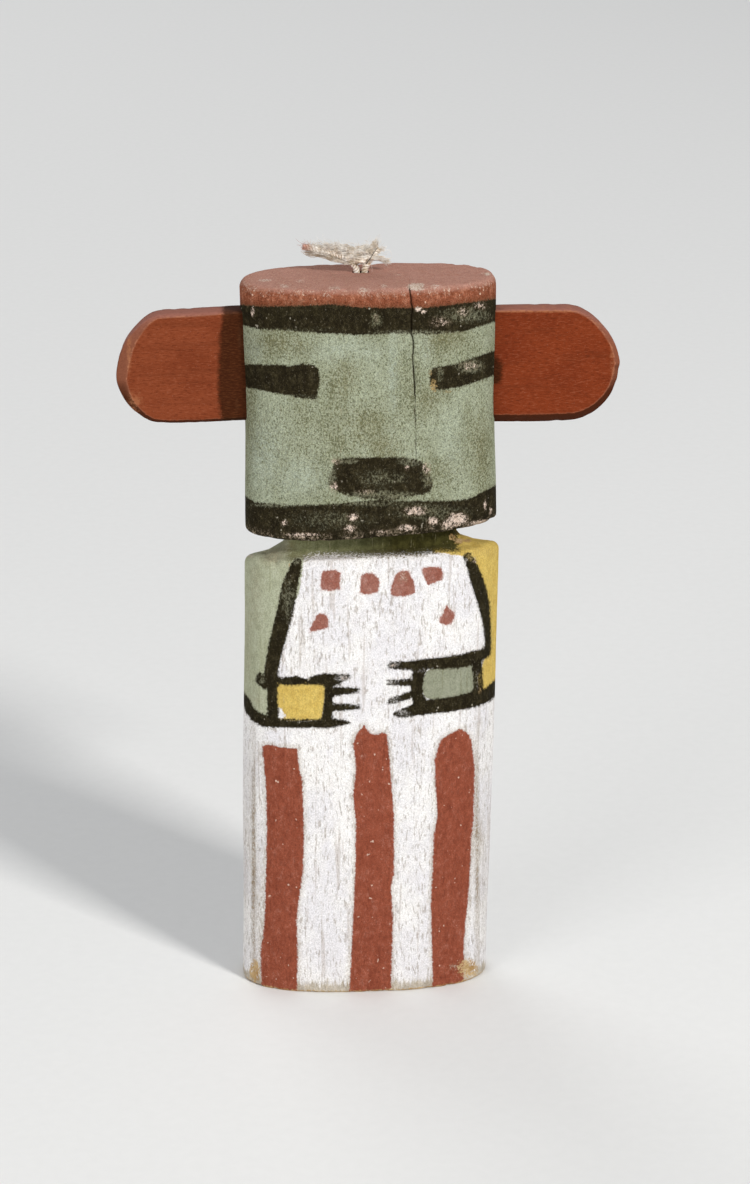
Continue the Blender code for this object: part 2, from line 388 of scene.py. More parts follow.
def head_at(turns, height, inset=0.0):
    """The head's wall, slightly drawn in at the eyes."""
    half = (HEIGHT - HEAD_BOTTOM) / 2
    width = three_widths(height - HEAD_BOTTOM, half, HEAD_BOTTOM_WIDTH, HEAD_WIDTH, CROWN_WIDTH)
    return drawn_in(section(turns, width, HEAD_DEPTH, SECTION_POWER), inset)


def hole_at(turns, inset=0.0):
    """The wall of the string's long hole, from the block's middle, drawn in towards the hole's own middle."""
    length = 2 * STRING_DIAMETER + 3 * CLEARANCE
    hole = section(turns, length, STRING_DIAMETER + 2 * CLEARANCE, NECK_POWER)
    middle = hole.mean(0)
    return drawn_in(hole - middle, inset) + middle + (HOLE_X - float(lean(HEIGHT)), HOLE_Y)


def crown_fall(points):
    """How far the crown's slanting top lies below the full height."""
    return CROWN_FALL * (0.5 - points[:, 0] / CROWN_WIDTH)


def chin_height(turns):
    """The head's lower edge, which rises towards the viewer's right."""
    return HEAD_BOTTOM + blend(0.0, HEAD_BOTTOM_RISE, (np.cos(turns) + 0.7) / 1.5)


def figure_rows(turns):
    """The block's surface as rings of points from the middle of the underside to the middle of the crown.

    Each ring comes with the name of the zone that it belongs to.
    """
    rows = []

    def ring(zone, points, height):
        height = np.broadcast_to(height, turns.shape)
        rows.append((zone, np.stack([points[:, 0] + lean(height), points[:, 1], height], -1)))

    floor = np.zeros_like(turns)
    for share in UNDERSIDE_SHARES:
        ring("underside", body_at(turns, floor, BASE_ROUND) * share, 0.0)
    for angle in BASE_ANGLES:
        height = BASE_ROUND * (1 - math.cos(angle))
        ring("body", body_at(turns, floor + height, BASE_ROUND * (1 - math.sin(angle))), height)

    edge = SHOULDER_HEIGHT - SHOULDER_FORWARD_RISE * np.sin(turns) + SHOULDER_SIDE_RISE * np.cos(turns)
    for step in range(1, BODY_ROWS + 1):
        height = BASE_ROUND + (edge - BASE_ROUND) * step / BODY_ROWS
        ring("body", body_at(turns, height), height)
    rounding = blend(SHOULDER_ROUND, BREAST_ROUND, -np.sin(turns) * 1.6 - 0.5)
    for angle in SHOULDER_ANGLES:
        inset = rounding * (1 - math.cos(angle))
        ring("shoulder", body_at(turns, edge, inset), edge + rounding * math.sin(angle))

    shelf = body_at(turns, edge, rounding)
    neck = section(turns, NECK_WIDTH, NECK_DEPTH, NECK_POWER)
    shares = np.linspace(0.0, 1.0, SHELF_ROWS)[1:]
    for share, climb in zip(shares, np.interp(shares, *SHELF_CLIMB)):
        height = edge + rounding + (NECK_ROOT_HEIGHT - edge) * climb
        ring("neck", shelf * (1 - share) + neck * share, height)
    under = chin_height(turns)
    root = NECK_ROOT_HEIGHT + rounding
    for share in NECK_SHARES:
        ring("neck", neck, root + (under - root) * share)
    chin = head_at(turns, under, CHIN_ROUND)
    for share in CHIN_SHARES:
        ring("chin", neck * (1 - share) + chin * share, under)
    for angle in CHIN_ANGLES:
        height = under + CHIN_ROUND * (1 - math.cos(angle))
        ring("head", head_at(turns, under, CHIN_ROUND * (1 - math.sin(angle))), height)

    start = under + CHIN_ROUND
    top = HEIGHT - CROWN_ROUND
    for step in range(1, HEAD_ROWS + 1):
        side = head_at(turns, start + (top - start) * step / HEAD_ROWS)
        ring("head", side, start + (top - crown_fall(side) - start) * step / HEAD_ROWS)
    for angle in RIM_ANGLES:
        rim = head_at(turns, floor + top, CROWN_ROUND * (1 - math.cos(angle)))
        ring("rim", rim, top - crown_fall(rim) + CROWN_ROUND * math.sin(angle))
    rim = head_at(turns, floor + top, CROWN_ROUND)
    for share in (np.arange(1, CROWN_ROWS + 1) / CROWN_ROWS) ** 0.9:
        disc = rim * (1 - share) + hole_at(turns) * share
        ring("crown", disc, HEIGHT - crown_fall(disc))
    for depth, inset in HOLE_RINGS:
        ring("hole", hole_at(turns, inset), HEIGHT - CROWN_FALL / 2 - depth)
    return rows


def on_photo(points):
    """Where points show in the photograph, as two arrays of pixels."""
    back, right, up, place = [np.array(each) for each in camera_axes()]
    away = points - place
    depth = -away @ back
    across = PHOTO_SIZE[0] / 2 + PHOTO_FOCUS * (away @ right) / depth
    down = PHOTO_SIZE[1] / 2 - PHOTO_FOCUS * (away @ up) / depth
    return across, down


def from_photo(across, down, y):
    """The point behind a photograph's pixel at a depth y."""
    back, right, up, place = camera_axes()
    rightward = (across - PHOTO_SIZE[0] / 2) / PHOTO_FOCUS
    downward = (down - PHOTO_SIZE[1] / 2) / PHOTO_FOCUS
    ray = right * rightward - up * downward - back
    return place + ray * ((y - place.y) / ray.y)


# Painted shapes, in the photograph's pixels

CRACK = (
    (409.5, 287), (410.5, 294), (411.5, 300), (411.2, 304), (413, 308), (411.5, 318), (411.3, 334),
    (413.3, 339), (413.5, 348), (412.7, 357), (413.3, 364), (414.2, 378), (415, 386), (414.5, 393),
    (415.3, 398), (415.3, 404), (414.6, 411), (415.6, 419), (415.8, 432), (416, 445), (416.2, 457),
)
CRACK_WIDTHS = (
    (287, 0.12), (296, 0.19), (305, 0.25), (318, 0.17), (335, 0.24), (357, 0.15), (380, 0.27), (396, 0.15),
    (404, 0.02), (412, 0.16), (424, 0.12), (430, 0.02), (444, 0.13), (457, 0.06),
)
UPPER_BAND_TOP = (
    (242, 305), (262, 306.5), (302, 306), (332, 304.5), (363, 308), (400, 308), (424, 308), (450, 305),
    (465, 303), (494.5, 299),
)
UPPER_BAND_BOTTOM = (
    (242, 325), (258, 329), (281, 330), (322, 333), (363, 335), (393, 333), (434, 334), (465, 331),
    (493.5, 322),
)
LOWER_BAND_TOP = (
    (244.5, 495), (254.6, 502), (283, 505.5), (319, 505), (350, 503), (372, 500), (407, 501), (427, 501),
    (450, 501), (462, 500), (472, 497.5), (482, 492.5), (495.5, 485),
)
LEFT_EYE = (
    (228, 364), (281, 365), (290, 366.5), (302, 363.5), (313, 365), (319, 369.5), (319.5, 381),
    (316.5, 399), (298, 397.5), (271, 392), (228, 384),
)
RIGHT_EYE = (
    (505, 347), (492, 351.5), (473, 358), (455, 364), (433, 368), (430, 374), (431, 384), (438, 390.5),
    (451, 388), (459, 387), (479, 381), (505, 371),
)
MOUTH = (
    (337, 460), (348, 457.5), (403, 457.5), (421, 461), (428, 470), (433, 484), (430, 492), (420, 495),
    (403, 497), (390, 500), (366, 498), (351, 495.6), (340, 493), (328.5, 484), (331, 470),
)
WHITE_TOP = (
    (290, 560), (302, 559), (316, 555.5), (336, 554.5), (365, 556), (415, 555.5), (425, 554), (436, 552),
    (458, 551.5),
)
YELLOW_TONGUE = ((433, 551.5), (433, 549), (450, 541.5), (454.6, 536), (480, 530), (480, 560), (458, 554))
GREEN_ARM = (
    (200, 520), (303, 520), (303, 558), (298, 590), (291, 610), (283, 640), (276, 665), (273, 700),
    (270, 716), (262, 718), (253, 711), (245, 700), (200, 690),
)
YELLOW_ARM = (
    (454, 520), (454, 551), (468, 557), (475, 576), (483, 595), (486.5, 618), (487.5, 640), (485, 660),
    (478, 676), (480, 694), (486.5, 694), (496, 684), (540, 684), (540, 520),
)
YELLOW_HAND = ((275, 681), (326, 681), (324, 700), (321, 720), (290, 720.5), (275, 720))
BARE_CORNER = ((276, 706), (282, 706), (284, 711), (287, 716), (287, 719), (276, 719))
GREEN_HAND = (
    (422, 685), (423, 677.5), (429, 670), (440, 666), (474, 664), (477, 680), (475, 693), (456, 700),
    (443, 702), (432, 699), (424.5, 695), (422, 690),
)

# Black strokes: points with the stroke's width
BLACK_STROKES = (
    ((297.5, 562, 8), (296, 567, 11), (290, 585, 15.5), (285.5, 610, 16.5), (279, 635, 16),
     (274, 655, 14.5), (271, 672, 14)),
    ((258.5, 674, 3), (261, 680, 11), (265, 686, 7)),
    ((270, 675, 12), (280, 681.5, 6), (287, 681, 8), (295, 680.5, 9), (302, 681.5, 7), (306, 682, 5),
     (313, 680.5, 9), (325, 679, 11), (334, 680, 12), (342, 677.5, 7), (349, 676.5, 4)),
    ((272, 684, 11), (272.3, 700, 10.5), (273.3, 720, 11)),
    ((240, 694, 8), (245.6, 701, 8), (249.4, 710, 9), (255, 716.5, 11), (264, 721, 12), (277.5, 723, 9),
     (300, 723.5, 8.5), (325, 723.5, 8.5), (335, 722.8, 8), (343, 722.6, 5.5), (349.5, 722.6, 2.5)),
    ((328.5, 678, 9), (328.5, 700, 8.5), (327, 719, 11)),
    ((332, 691.7, 9), (345, 690.8, 7), (357.5, 690.3, 5)),
    ((332, 707.5, 7), (345, 707.2, 6.5), (358.5, 706.6, 4.5)),
    ((468, 557, 9), (472.5, 567, 11.5), (477, 580, 13), (481, 592.5, 13), (484, 605, 11.5),
     (486, 617.5, 8.5), (487.5, 630, 6.5), (488, 642.5, 6), (486.5, 653, 8)),
    ((486, 653, 9), (476, 657, 13), (462, 661, 13.5), (446, 663, 12.5), (430, 664, 10.5), (416, 665, 9.5),
     (403, 665.5, 8), (391, 665.5, 7)),
    ((476.5, 660, 11), (478, 680, 9), (479, 698, 11)),
    ((504, 676, 8), (496, 685, 9.5), (487, 695.5, 13), (475, 698.8, 16), (465, 701.5, 15), (446, 705, 14.5),
     (430, 706.5, 14.5), (418, 709, 13), (407, 712.3, 10), (396, 714.6, 5.5)),
    ((424, 664, 10), (419, 672, 12.5), (416.4, 685, 11.5), (417.5, 697, 12), (422, 705, 13)),
    ((412, 682.3, 7), (400, 682.5, 6), (388.5, 682.3, 4.5)),
    ((412, 694.5, 7.5), (400, 698.5, 6.5), (389.5, 701.5, 4.5)),
)

# Red dots
RED_DOTS = (
    ((322, 571.5), (326, 570.5), (336, 570.3), (341, 573), (339.5, 580), (340.5, 589), (331, 590.5),
     (321, 590), (320.5, 581)),
    ((361, 575), (366, 573.2), (373, 573.5), (379, 579), (379.5, 586), (377.5, 593), (370, 594.5),
     (360, 594)),
    ((396, 573.5), (402, 570.3), (409, 570.8), (411.5, 578), (415, 584), (415, 593.5), (404, 596.5),
     (391.5, 596), (390.5, 588)),
    ((421.5, 568.5), (429, 567), (440, 566.7), (443.5, 573), (442, 579.5), (434, 583), (428, 585.5),
     (424.5, 578)),
    ((315.5, 615.5), (320.5, 612.8), (326, 615), (329, 621), (328, 628.5), (319, 629.5), (309.5, 633),
     (310, 627), (314, 622)),
    ((444.5, 608), (446.5, 605.5), (449.5, 609), (454, 612), (454.5, 618), (450.5, 624.5), (446, 625.5),
     (439, 622.5), (439.5, 618), (443, 614)),
)
RED_STRIPES = (
    ((262, 746), (270, 744.5), (280, 747), (297.7, 748.5), (298.7, 767), (302.5, 782), (304, 834),
     (303, 872), (299.6, 893), (296.7, 920), (297.7, 958), (296.7, 1000), (262, 1000), (260.4, 950.6),
     (263, 937), (265, 910), (266, 872), (266.7, 834), (266, 786)),
    ((353, 744), (355.7, 735), (361, 728.5), (364.5, 724.7), (367, 729.5), (371, 733.5), (376.5, 735),
     (382, 732.3), (387, 734), (388.3, 745), (391, 776.5), (394, 815), (394, 872), (391, 887.5), (393, 920),
     (390.5, 1000), (349, 1000), (353, 920), (355, 872), (356, 824), (353, 796), (356, 767)),
    ((438, 747), (440.7, 740), (449.5, 733.7), (460.7, 728.7), (467, 732.5), (470.7, 737.5), (472.3, 747),
     (474.7, 767), (473.7, 815), (471, 843.5), (470, 872), (467, 910), (464, 939), (464, 1000),
     (432.6, 1000), (432.6, 977), (430.7, 901), (432.6, 872), (433.5, 838), (437.4, 815), (435.4, 786),
     (434.5, 760)),
)

# Rubbed places, stains and bare places, with some painted shade: middle, half width, half height and strength
RUBBED_HEAD = (
    (416, 286.5, 8.5, 3.6, 1.15), (398, 274, 6, 1.6, 0.8), (265, 280, 7, 1.8, 0.75),
    (252.5, 311, 1.6, 5, 1.0), (255, 289, 2, 2.5, 0.8), (285, 286, 6, 3, 0.58), (301, 281, 6, 2.5, 0.52),
    (335, 288, 7, 3.5, 0.58), (365, 290, 8, 4, 0.56), (384, 286, 5, 3, 0.50), (418, 309, 3, 2.4, 1.0),
    (424, 312, 2.5, 2.2, 1.0), (436, 287, 8, 3.5, 0.52), (448, 266.5, 5, 1.2, 0.8), (487, 273, 5, 3, 1.0),
    (463, 312, 8, 6, 0.48), (480, 306, 8, 5, 0.48), (376, 318, 3, 6, 0.40), (440, 322, 14, 7, 0.42),
    (353, 517, 6, 4, 0.75), (350, 529, 8, 5, 0.56), (306, 535.5, 24, 3, 0.66), (284, 523, 4, 3, 0.62),
    (407, 528, 10, 4, 0.70), (415, 511, 12, 4.5, 0.82), (433, 521, 6, 4, 0.8), (457, 520, 10, 6.5, 1.05),
    (448, 525, 7, 4, 0.85), (485, 505, 1.6, 5, 0.9), (490.5, 511, 1.4, 4, 0.9), (482, 526, 14, 4.5, 1.1),
    (380, 532, 12, 3, 0.52), (336, 461, 6, 4, 0.55), (334, 487, 5, 6, 0.55), (427, 468, 5, 7, 0.58),
    (365, 492, 14, 3, 0.46), (470, 366, 13, 6, 0.42), (378, 383, 1.2, 1.2, 1.0), (407, 468, 3, 3, 0.55),
)
RUBBED_BODY = (
    (475, 560, 4, 3, 0.52), (469, 557, 4, 2.5, 0.50), (393, 665, 5, 3, 0.45), (345, 678, 5, 3, 0.50),
    (250, 556, 6, 2.5, 0.50), (457, 967, 12, 4, 0.50), (403, 577, 8, 8, 0.42),
)
TAN_HEAD = ((433, 386, 5, 8, 0.70), (447, 391, 8, 2.5, 0.54), (430, 372, 2.2, 7, 0.56))
TAN_BODY = (
    (468, 968, 9, 8, 1.35), (254.5, 971, 5, 11, 1.2), (459, 541, 5, 2.6, 1.1), (467, 540.5, 5, 2, 0.95),
    (452, 537, 4, 4, 0.72), (289, 566, 2.5, 5, 0.50), (480, 690, 3, 7, 0.46), (251, 620, 4, 30, 0.30),
)
STAINED_HEAD = (
    (444, 338, 22, 12, 0.62), (280, 342, 30, 12, 0.55), (345, 378, 14, 24, 0.62), (300, 345, 14, 10, 0.55),
    (362, 425, 30, 24, 0.55), (385, 445, 18, 12, 0.68), (246, 420, 8, 60, 0.50), (480, 440, 10, 44, 0.52),
    (430, 400, 16, 14, 0.40), (450, 470, 26, 18, 0.34), (300, 440, 26, 30, 0.28), (318, 318, 60, 12, 0.25),
)
STAINS_AND_SHADE_BODY = (
    (272, 556, 12, 8, 0.85), (255, 590, 6, 34, 0.42), (285, 548, 10, 9, 0.55), (247, 640, 4, 60, 0.35),
    (255, 700, 8, 8, 0.40), (480, 552, 18, 5, 0.30), (246, 860, 4, 110, 0.55), (300, 985, 60, 5, 0.45),
    (253.5, 865, 2.4, 115, 1.7), (477, 850, 2.4, 105, 1.5), (477.5, 838, 6, 22, 1.3),
    # (330, 558) and (400, 556) on the next line are painted shade along the chest's top, under the chin
    (257, 905, 7, 60, 0.70), (252, 790, 6, 60, 0.50), (330, 558, 50, 5, 0.55), (400, 556, 50, 4, 0.50),
    (440, 985, 40, 6, 0.45), (484, 880, 4, 80, 0.45),
)
FADED_HEAD = (
    (382, 478, 34, 12, 0.45), (331, 478, 6, 18, 0.72), (345, 461, 16, 4, 0.66), (428, 474, 8, 16, 0.74),
    (380, 495, 46, 5, 0.70), (410, 462, 16, 5, 0.62), (470, 366, 16, 8, 0.66), (440, 374, 5, 12, 0.50),
    (300, 397, 30, 3, 0.50), (465, 315, 34, 10, 0.54), (376, 320, 8, 11, 0.50), (300, 329, 60, 2.5, 0.44),
    (420, 333, 60, 3.5, 0.64), (330, 520, 60, 14, 0.40), (430, 512, 50, 12, 0.46), (365, 503, 60, 4, 0.54),
    (280, 505, 40, 3, 0.62),
)
FADED_BODY = (
    (297, 562, 5, 4, 0.52), (288, 600, 12, 30, 0.42), (469, 557, 6, 5, 0.66), (343, 678, 9, 4, 0.72),
    (393, 665, 9, 5, 0.54), (393, 682, 9, 5, 0.50), (395, 700, 9, 6, 0.48), (402, 713, 12, 5, 0.50),
    (440, 670, 40, 3, 0.52), (300, 687, 26, 3, 0.52), (300, 719, 26, 3, 0.52), (478, 680, 7, 12, 0.42),
    (262, 680, 6, 8, 0.40),
)
PALE_HEAD = (
    (265, 455, 18, 34, 0.55), (393, 372, 4, 40, 0.62), (300, 478, 26, 18, 0.50), (350, 350, 40, 10, 0.42),
    (425, 350, 6, 16, 0.35), (452, 445, 14, 30, 0.30), (255, 350, 8, 14, 0.40),
)
PATCH_FALL = 0.9
PATCHES = {
    "rubbed": (RUBBED_HEAD, RUBBED_BODY),
    "tan": (TAN_HEAD, TAN_BODY),
    "stains_and_shade": (STAINED_HEAD, STAINS_AND_SHADE_BODY),
    "pale": (PALE_HEAD, ()),
    "faded": (FADED_HEAD, FADED_BODY),
}

# Dents: middle, half width and half height in pixels, and depth in millimetres. The crease is a stroke.
HEAD_DENTS = ((489, 524, 10, 6, 1.1), (467, 526, 12, 4, 0.5), (420, 286, 9, 4, 0.40))
BODY_DENTS = ((275.5, 561.5, 2.2, 4.5, 0.60), (466, 973, 9, 8, 0.40), (254, 973, 4, 14, 0.30))
SHOULDER_CREASE = ((263.8, 548, 1), (266, 554, 1.5), (275.5, 562, 2))
CRACK_RUN_OUT = 3.0
CRACK_DEPTHS = ((284, 300, 400, 457), (0.8, 0.65, 0.5, 0.3))

# The neck's groove: its ends, and where it goes from mossy paint to dark olive and painted shade
GROOVE_ENDS = (288, 458)
GROOVE_PAINTED_SHADE = (285, 395)

# Knife facets and grain: height, period, stretch along the grain and the noise's seed
WOOD_RELIEF = ((0.11, 7.0, 0.22, 3.1), (0.06, 2.6, 0.16, 11.7), (0.03, 1.1, 0.25, 5.3))
# Fine grooves along the grain, from a noise's period, stretches and seed, and the crease at the shoulder
GRAIN_LINE_DEPTH = 0.10
GRAIN_LINE_WIDTH = 0.05
GRAIN_LINE_NOISE = (9.0, (1.0, 0.7, 0.10), 23.9)
CREASE_DEPTH = 0.35
CREASE_WIDTH = 0.35

# Chipped, grimy and worn edges: height and width in millimetres, the chin's from the head's lower edge
BASE_CHIPS = (0.0, 1.2)
CROWN_CHIPS = (HEIGHT / MM, 1.6)
CHIN_CHIPS = (0.0, 1.2)
BASE_GRIME = (0.0, 2.8)
BASE_BARE = (0.0, 0.8)
CROWN_WEAR = (178.9, 0.9)
CHIN_WEAR = (0.6, 1.0)
CHIP_DEPTH = 0.6
CHIP_PERIOD = 1.9
CHIP_START = 0.12
# Where the band's red turns into the crown's on the rim, in millimetres
CROWN_PAINT = (178.4, 179.6)

# How many millimetres a painted shape shrinks with each millimetre behind the doll's middle
FEATURE_WRAP = 1.2
STROKE_WRAP = 0.9
RED_WRAP = 1.5
ARM_WRAP = 0.55
# The distance of a shape that isn't on a part of the doll
FAR = 20.0


def to_segment(u, v, start, end):
    """The distance to a straight line between two points, and how far along it the nearest place is."""
    du, dv = end[0] - start[0], end[1] - start[1]
    along = np.clip(((u - start[0]) * du + (v - start[1]) * dv) / (du * du + dv * dv), 0.0, 1.0)
    return np.hypot(u - start[0] - along * du, v - start[1] - along * dv), along


def to_polygon(u, v, corners):
    """Signed distance to a polygon, negative inside."""
    nearest = np.full(u.shape, 1e9)
    within = np.zeros(u.shape, bool)
    for (u0, v0), (u1, v1) in zip(corners, corners[1:] + corners[:1]):
        away, _ = to_segment(u, v, (u0, v0), (u1, v1))
        nearest = np.minimum(nearest, away)
        if v0 != v1:
            within ^= ((v0 > v) != (v1 > v)) & (u < u0 + (v - v0) / (v1 - v0) * (u1 - u0))
    return np.where(within, -nearest, nearest)


def to_stroke(u, v, points):
    """Signed distance to a brush stroke of changing width."""
    nearest = np.full(u.shape, 1e9)
    for start, end in zip(points, points[1:]):
        away, along = to_segment(u, v, start, end)
        nearest = np.minimum(nearest, away - (start[2] + (end[2] - start[2]) * along) / 2)
    return nearest


def nearest_shape(u, v, shapes):
    """Signed distance to the nearest of some polygons."""
    return np.minimum.reduce([to_polygon(u, v, shape) for shape in shapes])


def edge_line(u, points):
    """The height in pixels of an outline that runs from left to right."""
    return np.interp(u, *zip(*points))


def spots(u, v, places, fall):
    """Each place's own strength at every point, which falls off round its middle."""
    middle_u, middle_v, half_width, half_height, strength = np.array(places, float).T[..., None]
    away = ((u - middle_u) / half_width) ** 2 + ((v - middle_v) / half_height) ** 2
    return strength * np.exp(-away * fall)


def patches(u, v, places):
    """How strongly each point is rubbed, stained, faded or bare."""
    return spots(u, v, places, PATCH_FALL).max(0) if places else np.zeros(u.shape)


def noise_at(points, period, stretch=(1.0, 1.0, 1.0), seed=0.0):
    """Smooth noise from about -1 to 1 at each point, with bumps a period apart in millimetres."""
    scale = np.array(stretch) / (period * MM)
    return np.array([noise.noise(Vector(each)) for each in points * scale + seed])


def bumps(points, axis, rows, seed=0.0):
    """The sum of some noises. Each row is a height, a period, a stretch along the axis and a seed."""
    return sum(
        height * noise_at(points, period, along_axis(axis, stretch), seed + own_seed)
        for height, period, stretch, own_seed in rows
    )


def hill(value, middle, width):
    """1 at the middle, falling off smoothly over a width."""
    return np.exp(-(((value - middle) / width) ** 2))


# Meshes

def closed_faces(tubes_count, rings_count, count):
    """Faces of closed tubes: walls between neighbouring rings of points, and each end filled."""
    index = np.arange(tubes_count * rings_count * count).reshape(tubes_count, rings_count, count)
    turned = np.roll(index, -1, axis=2)
    walls = np.stack([index[:, :-1], turned[:, :-1], turned[:, 1:], index[:, 1:]], -1)
    return walls.reshape(-1, 4).tolist() + index[:, 0, ::-1].tolist() + index[:, -1].tolist()


def mesh_of(name, points, faces):
    """A smooth mesh."""
    mesh = bpy.data.meshes.new(name)
    mesh.from_pydata(np.asarray(points), [], faces)
    mesh.shade_smooth()
    return mesh


def mesh_from_rings(name, rings):
    """A closed mesh from rings of equal length."""
    return mesh_of(name, np.concatenate(rings), closed_faces(1, len(rings), len(rings[0])))


def set_points(mesh, points):
    """Moves a mesh's points."""
    mesh.vertices.foreach_set("co", np.asarray(points, np.float32).ravel())
    mesh.update()


def get_normals(mesh):
    """The direction away from the surface at each of a mesh's points."""
    normals = np.empty(len(mesh.vertices) * 3, np.float32)
    mesh.vertices.foreach_get("normal", normals)
    return normals.reshape(-1, 3)


def carry(mesh, masks):
    """Writes each mask on the mesh's points."""
    for name, values in masks.items():
        layer = mesh.attributes.new(name, "FLOAT", "POINT")
        layer.data.foreach_set("value", np.asarray(values, np.float32))


def add_piece(name, data, node, finish):
    """Puts a piece in the scene, riding on the doll's one body."""
    piece = bpy.data.objects.new(name, data)
    bpy.context.scene.collection.objects.link(piece)
    data.materials.append(finish)
    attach(piece, "root")
    if node:
        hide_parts(node)
    return piece


# The figure

def crack_distance(u, v):
    """Signed distance in pixels across the crack, and the crack's half width in millimetres."""
    across, down = zip(*CRACK)
    past = np.maximum(np.maximum(v - down[-1], down[0] - v), 0.0)
    width = np.interp(v, *zip(*CRACK_WIDTHS)) * np.clip(1.0 - past / CRACK_RUN_OUT, 0.0, 1.0)
    return u - np.interp(v, down, across), width


def above_chin(points):
    """The height in millimetres above the head's lower edge."""
    turns = np.arctan2(points[:, 1] / BODY_DEPTH, points[:, 0] / HEAD_WIDTH)
    return (points[:, 2] - chin_height(turns)) / MM


def paint_masks(points, zones):
    """The signed distances in millimetres and the patches that the figure's material reads."""
    twin = points.copy()
    twin[:, 1] = -np.abs(twin[:, 1])
    u, v = on_photo(twin)
    unit = PIXEL_ON_DOLL / MM
    behind = np.maximum(points[:, 1], 0.0) / MM
    front = np.exp(-behind)
    height = points[:, 2] / MM
    crown = np.isin(zones, ("rim", "crown", "hole"))
    face = np.isin(zones, ("head", "chin"))
    head = face | crown

    def only(where, distance, wrap):
        """The distance in millimetres where the shape may be. It shrinks behind the doll."""
        return np.where(where, distance * unit + behind * wrap, FAR)

    upper_top = edge_line(u, UPPER_BAND_TOP)
    upper = np.maximum(upper_top - v, v - edge_line(u, UPPER_BAND_BOTTOM))
    bands = only(face, np.minimum(upper, edge_line(u, LOWER_BAND_TOP) - v), 0.0)
    features = only(face, nearest_shape(u, v, (LEFT_EYE, RIGHT_EYE, MOUTH)), FEATURE_WRAP)
    strokes = np.minimum.reduce([to_stroke(u, v, stroke) for stroke in BLACK_STROKES])
    yellow = nearest_shape(u, v, (YELLOW_ARM, YELLOW_HAND, YELLOW_TONGUE))
    yellow = np.maximum(yellow, -to_polygon(u, v, BARE_CORNER))
    groove = np.maximum(v - edge_line(u, WHITE_TOP), np.maximum(GROOVE_ENDS[0] - u, u - GROOVE_ENDS[1]))
    across, crack_width = crack_distance(u, v)
    masks = {
        "black": np.minimum.reduce([bands, features, only(~head, strokes, STROKE_WRAP)]),
        "top": np.where(crown, -FAR, only(head, v - upper_top, 0.0)),
        "dots": only(~head, nearest_shape(u, v, RED_DOTS), RED_WRAP),
        "stripes": only(~head, nearest_shape(u, v, RED_STRIPES), RED_WRAP),
        "mask_green": np.where(face, -FAR, FAR),
        "arm_green": only(~head, to_polygon(u, v, GREEN_ARM), ARM_WRAP),
        "hand_green": only(~head, to_polygon(u, v, GREEN_HAND), ARM_WRAP),
        "yellow": only(~head, yellow, ARM_WRAP),
        "groove": np.where(np.isin(zones, ("neck", "shoulder", "body")), groove * unit, FAR),
        "groove_painted_shade": np.interp(u, GROOVE_PAINTED_SHADE, (0.0, 1.0)),
        "base_rim": hill(height, *BASE_GRIME),
        "rim": hill(height, *CROWN_WEAR) * head,
        "chin_rim": hill(above_chin(points), *CHIN_WEAR) * face,
        "crack": np.where(head & (points[:, 1] < 0), across * unit, FAR),
        "crack_width": crack_width,
        "crown": np.where(zones == "rim", np.interp(height, CROWN_PAINT, (0.0, 1.0)), crown * 1.0),
        "underneath": np.isin(zones, ("chin", "underside")) * 1.0,
        "hole": (zones == "hole") * 1.0,
    }
    for name, (head_places, body_places) in PATCHES.items():
        masks[name] = np.where(head, patches(u, v, head_places), patches(u, v, body_places)) * front
    masks["tan"] = np.maximum(masks["tan"], 0.75 * hill(height, *BASE_BARE))
    return masks


def relief(points, normals, zones, masks):
    """The block's small forms, moved along its normals."""
    u, v = on_photo(points)
    front = points[:, 1] < 0
    head = np.isin(zones, ("head", "rim"))
    height = points[:, 2] / MM
    rise = bumps(points, 2, WOOD_RELIEF)
    rise -= GRAIN_LINE_DEPTH * hill(noise_at(points, *GRAIN_LINE_NOISE), 0.0, GRAIN_LINE_WIDTH)

    width = masks["crack_width"] * 0.7 + 0.02
    crack = hill(masks["crack"], 0.0, width) * np.clip(masks["crack_width"] / 0.15, 0.0, 1.3)
    rise -= np.where(head & front, crack * np.interp(v, *CRACK_DEPTHS), 0.0)
    crease = np.maximum(to_stroke(u, v, SHOULDER_CREASE) * PIXEL_ON_DOLL / MM, 0.0)
    body_dents = spots(u, v, BODY_DENTS, 1.0).sum(0) + CREASE_DEPTH * hill(crease, 0.0, CREASE_WIDTH)
    rise -= np.where(front, np.where(head, spots(u, v, HEAD_DENTS, 1.0).sum(0), body_dents), 0.0)

    edge = hill(height, *BASE_CHIPS) + hill(height, *CROWN_CHIPS) * head
    edge += 0.8 * hill(above_chin(points), *CHIN_CHIPS) * head
    rise -= CHIP_DEPTH * edge * np.maximum(noise_at(points, CHIP_PERIOD, seed=41.0) - CHIP_START, 0.0)
    rise = np.where(zones == "underside", np.minimum(rise, 0.0) * 0.3, rise)
    rise = np.where(zones == "hole", 0.0, rise)
    return points + normals * (rise * MM)[:, None]


def figure_turns():
    """Even steps round the block, and finer ones along the crack."""
    even = np.linspace(0.0, 2 * math.pi, TURN_STEPS, endpoint=False)
    height = np.full(TURN_STEPS, CRACK_HEIGHT)
    wall = head_at(even, height)
    u, _ = on_photo(np.stack([wall[:, 0] + lean(CRACK_HEIGHT), wall[:, 1], height], -1))
    front = wall[:, 1] < 0
    first, last = np.interp(CRACK_SPAN, u[front], even[front])
    spare = (even < first - TURN_GAP) | (even > last + TURN_GAP)
    return np.sort(np.concatenate([even[spare], np.linspace(first, last, CRACK_STEPS)]))


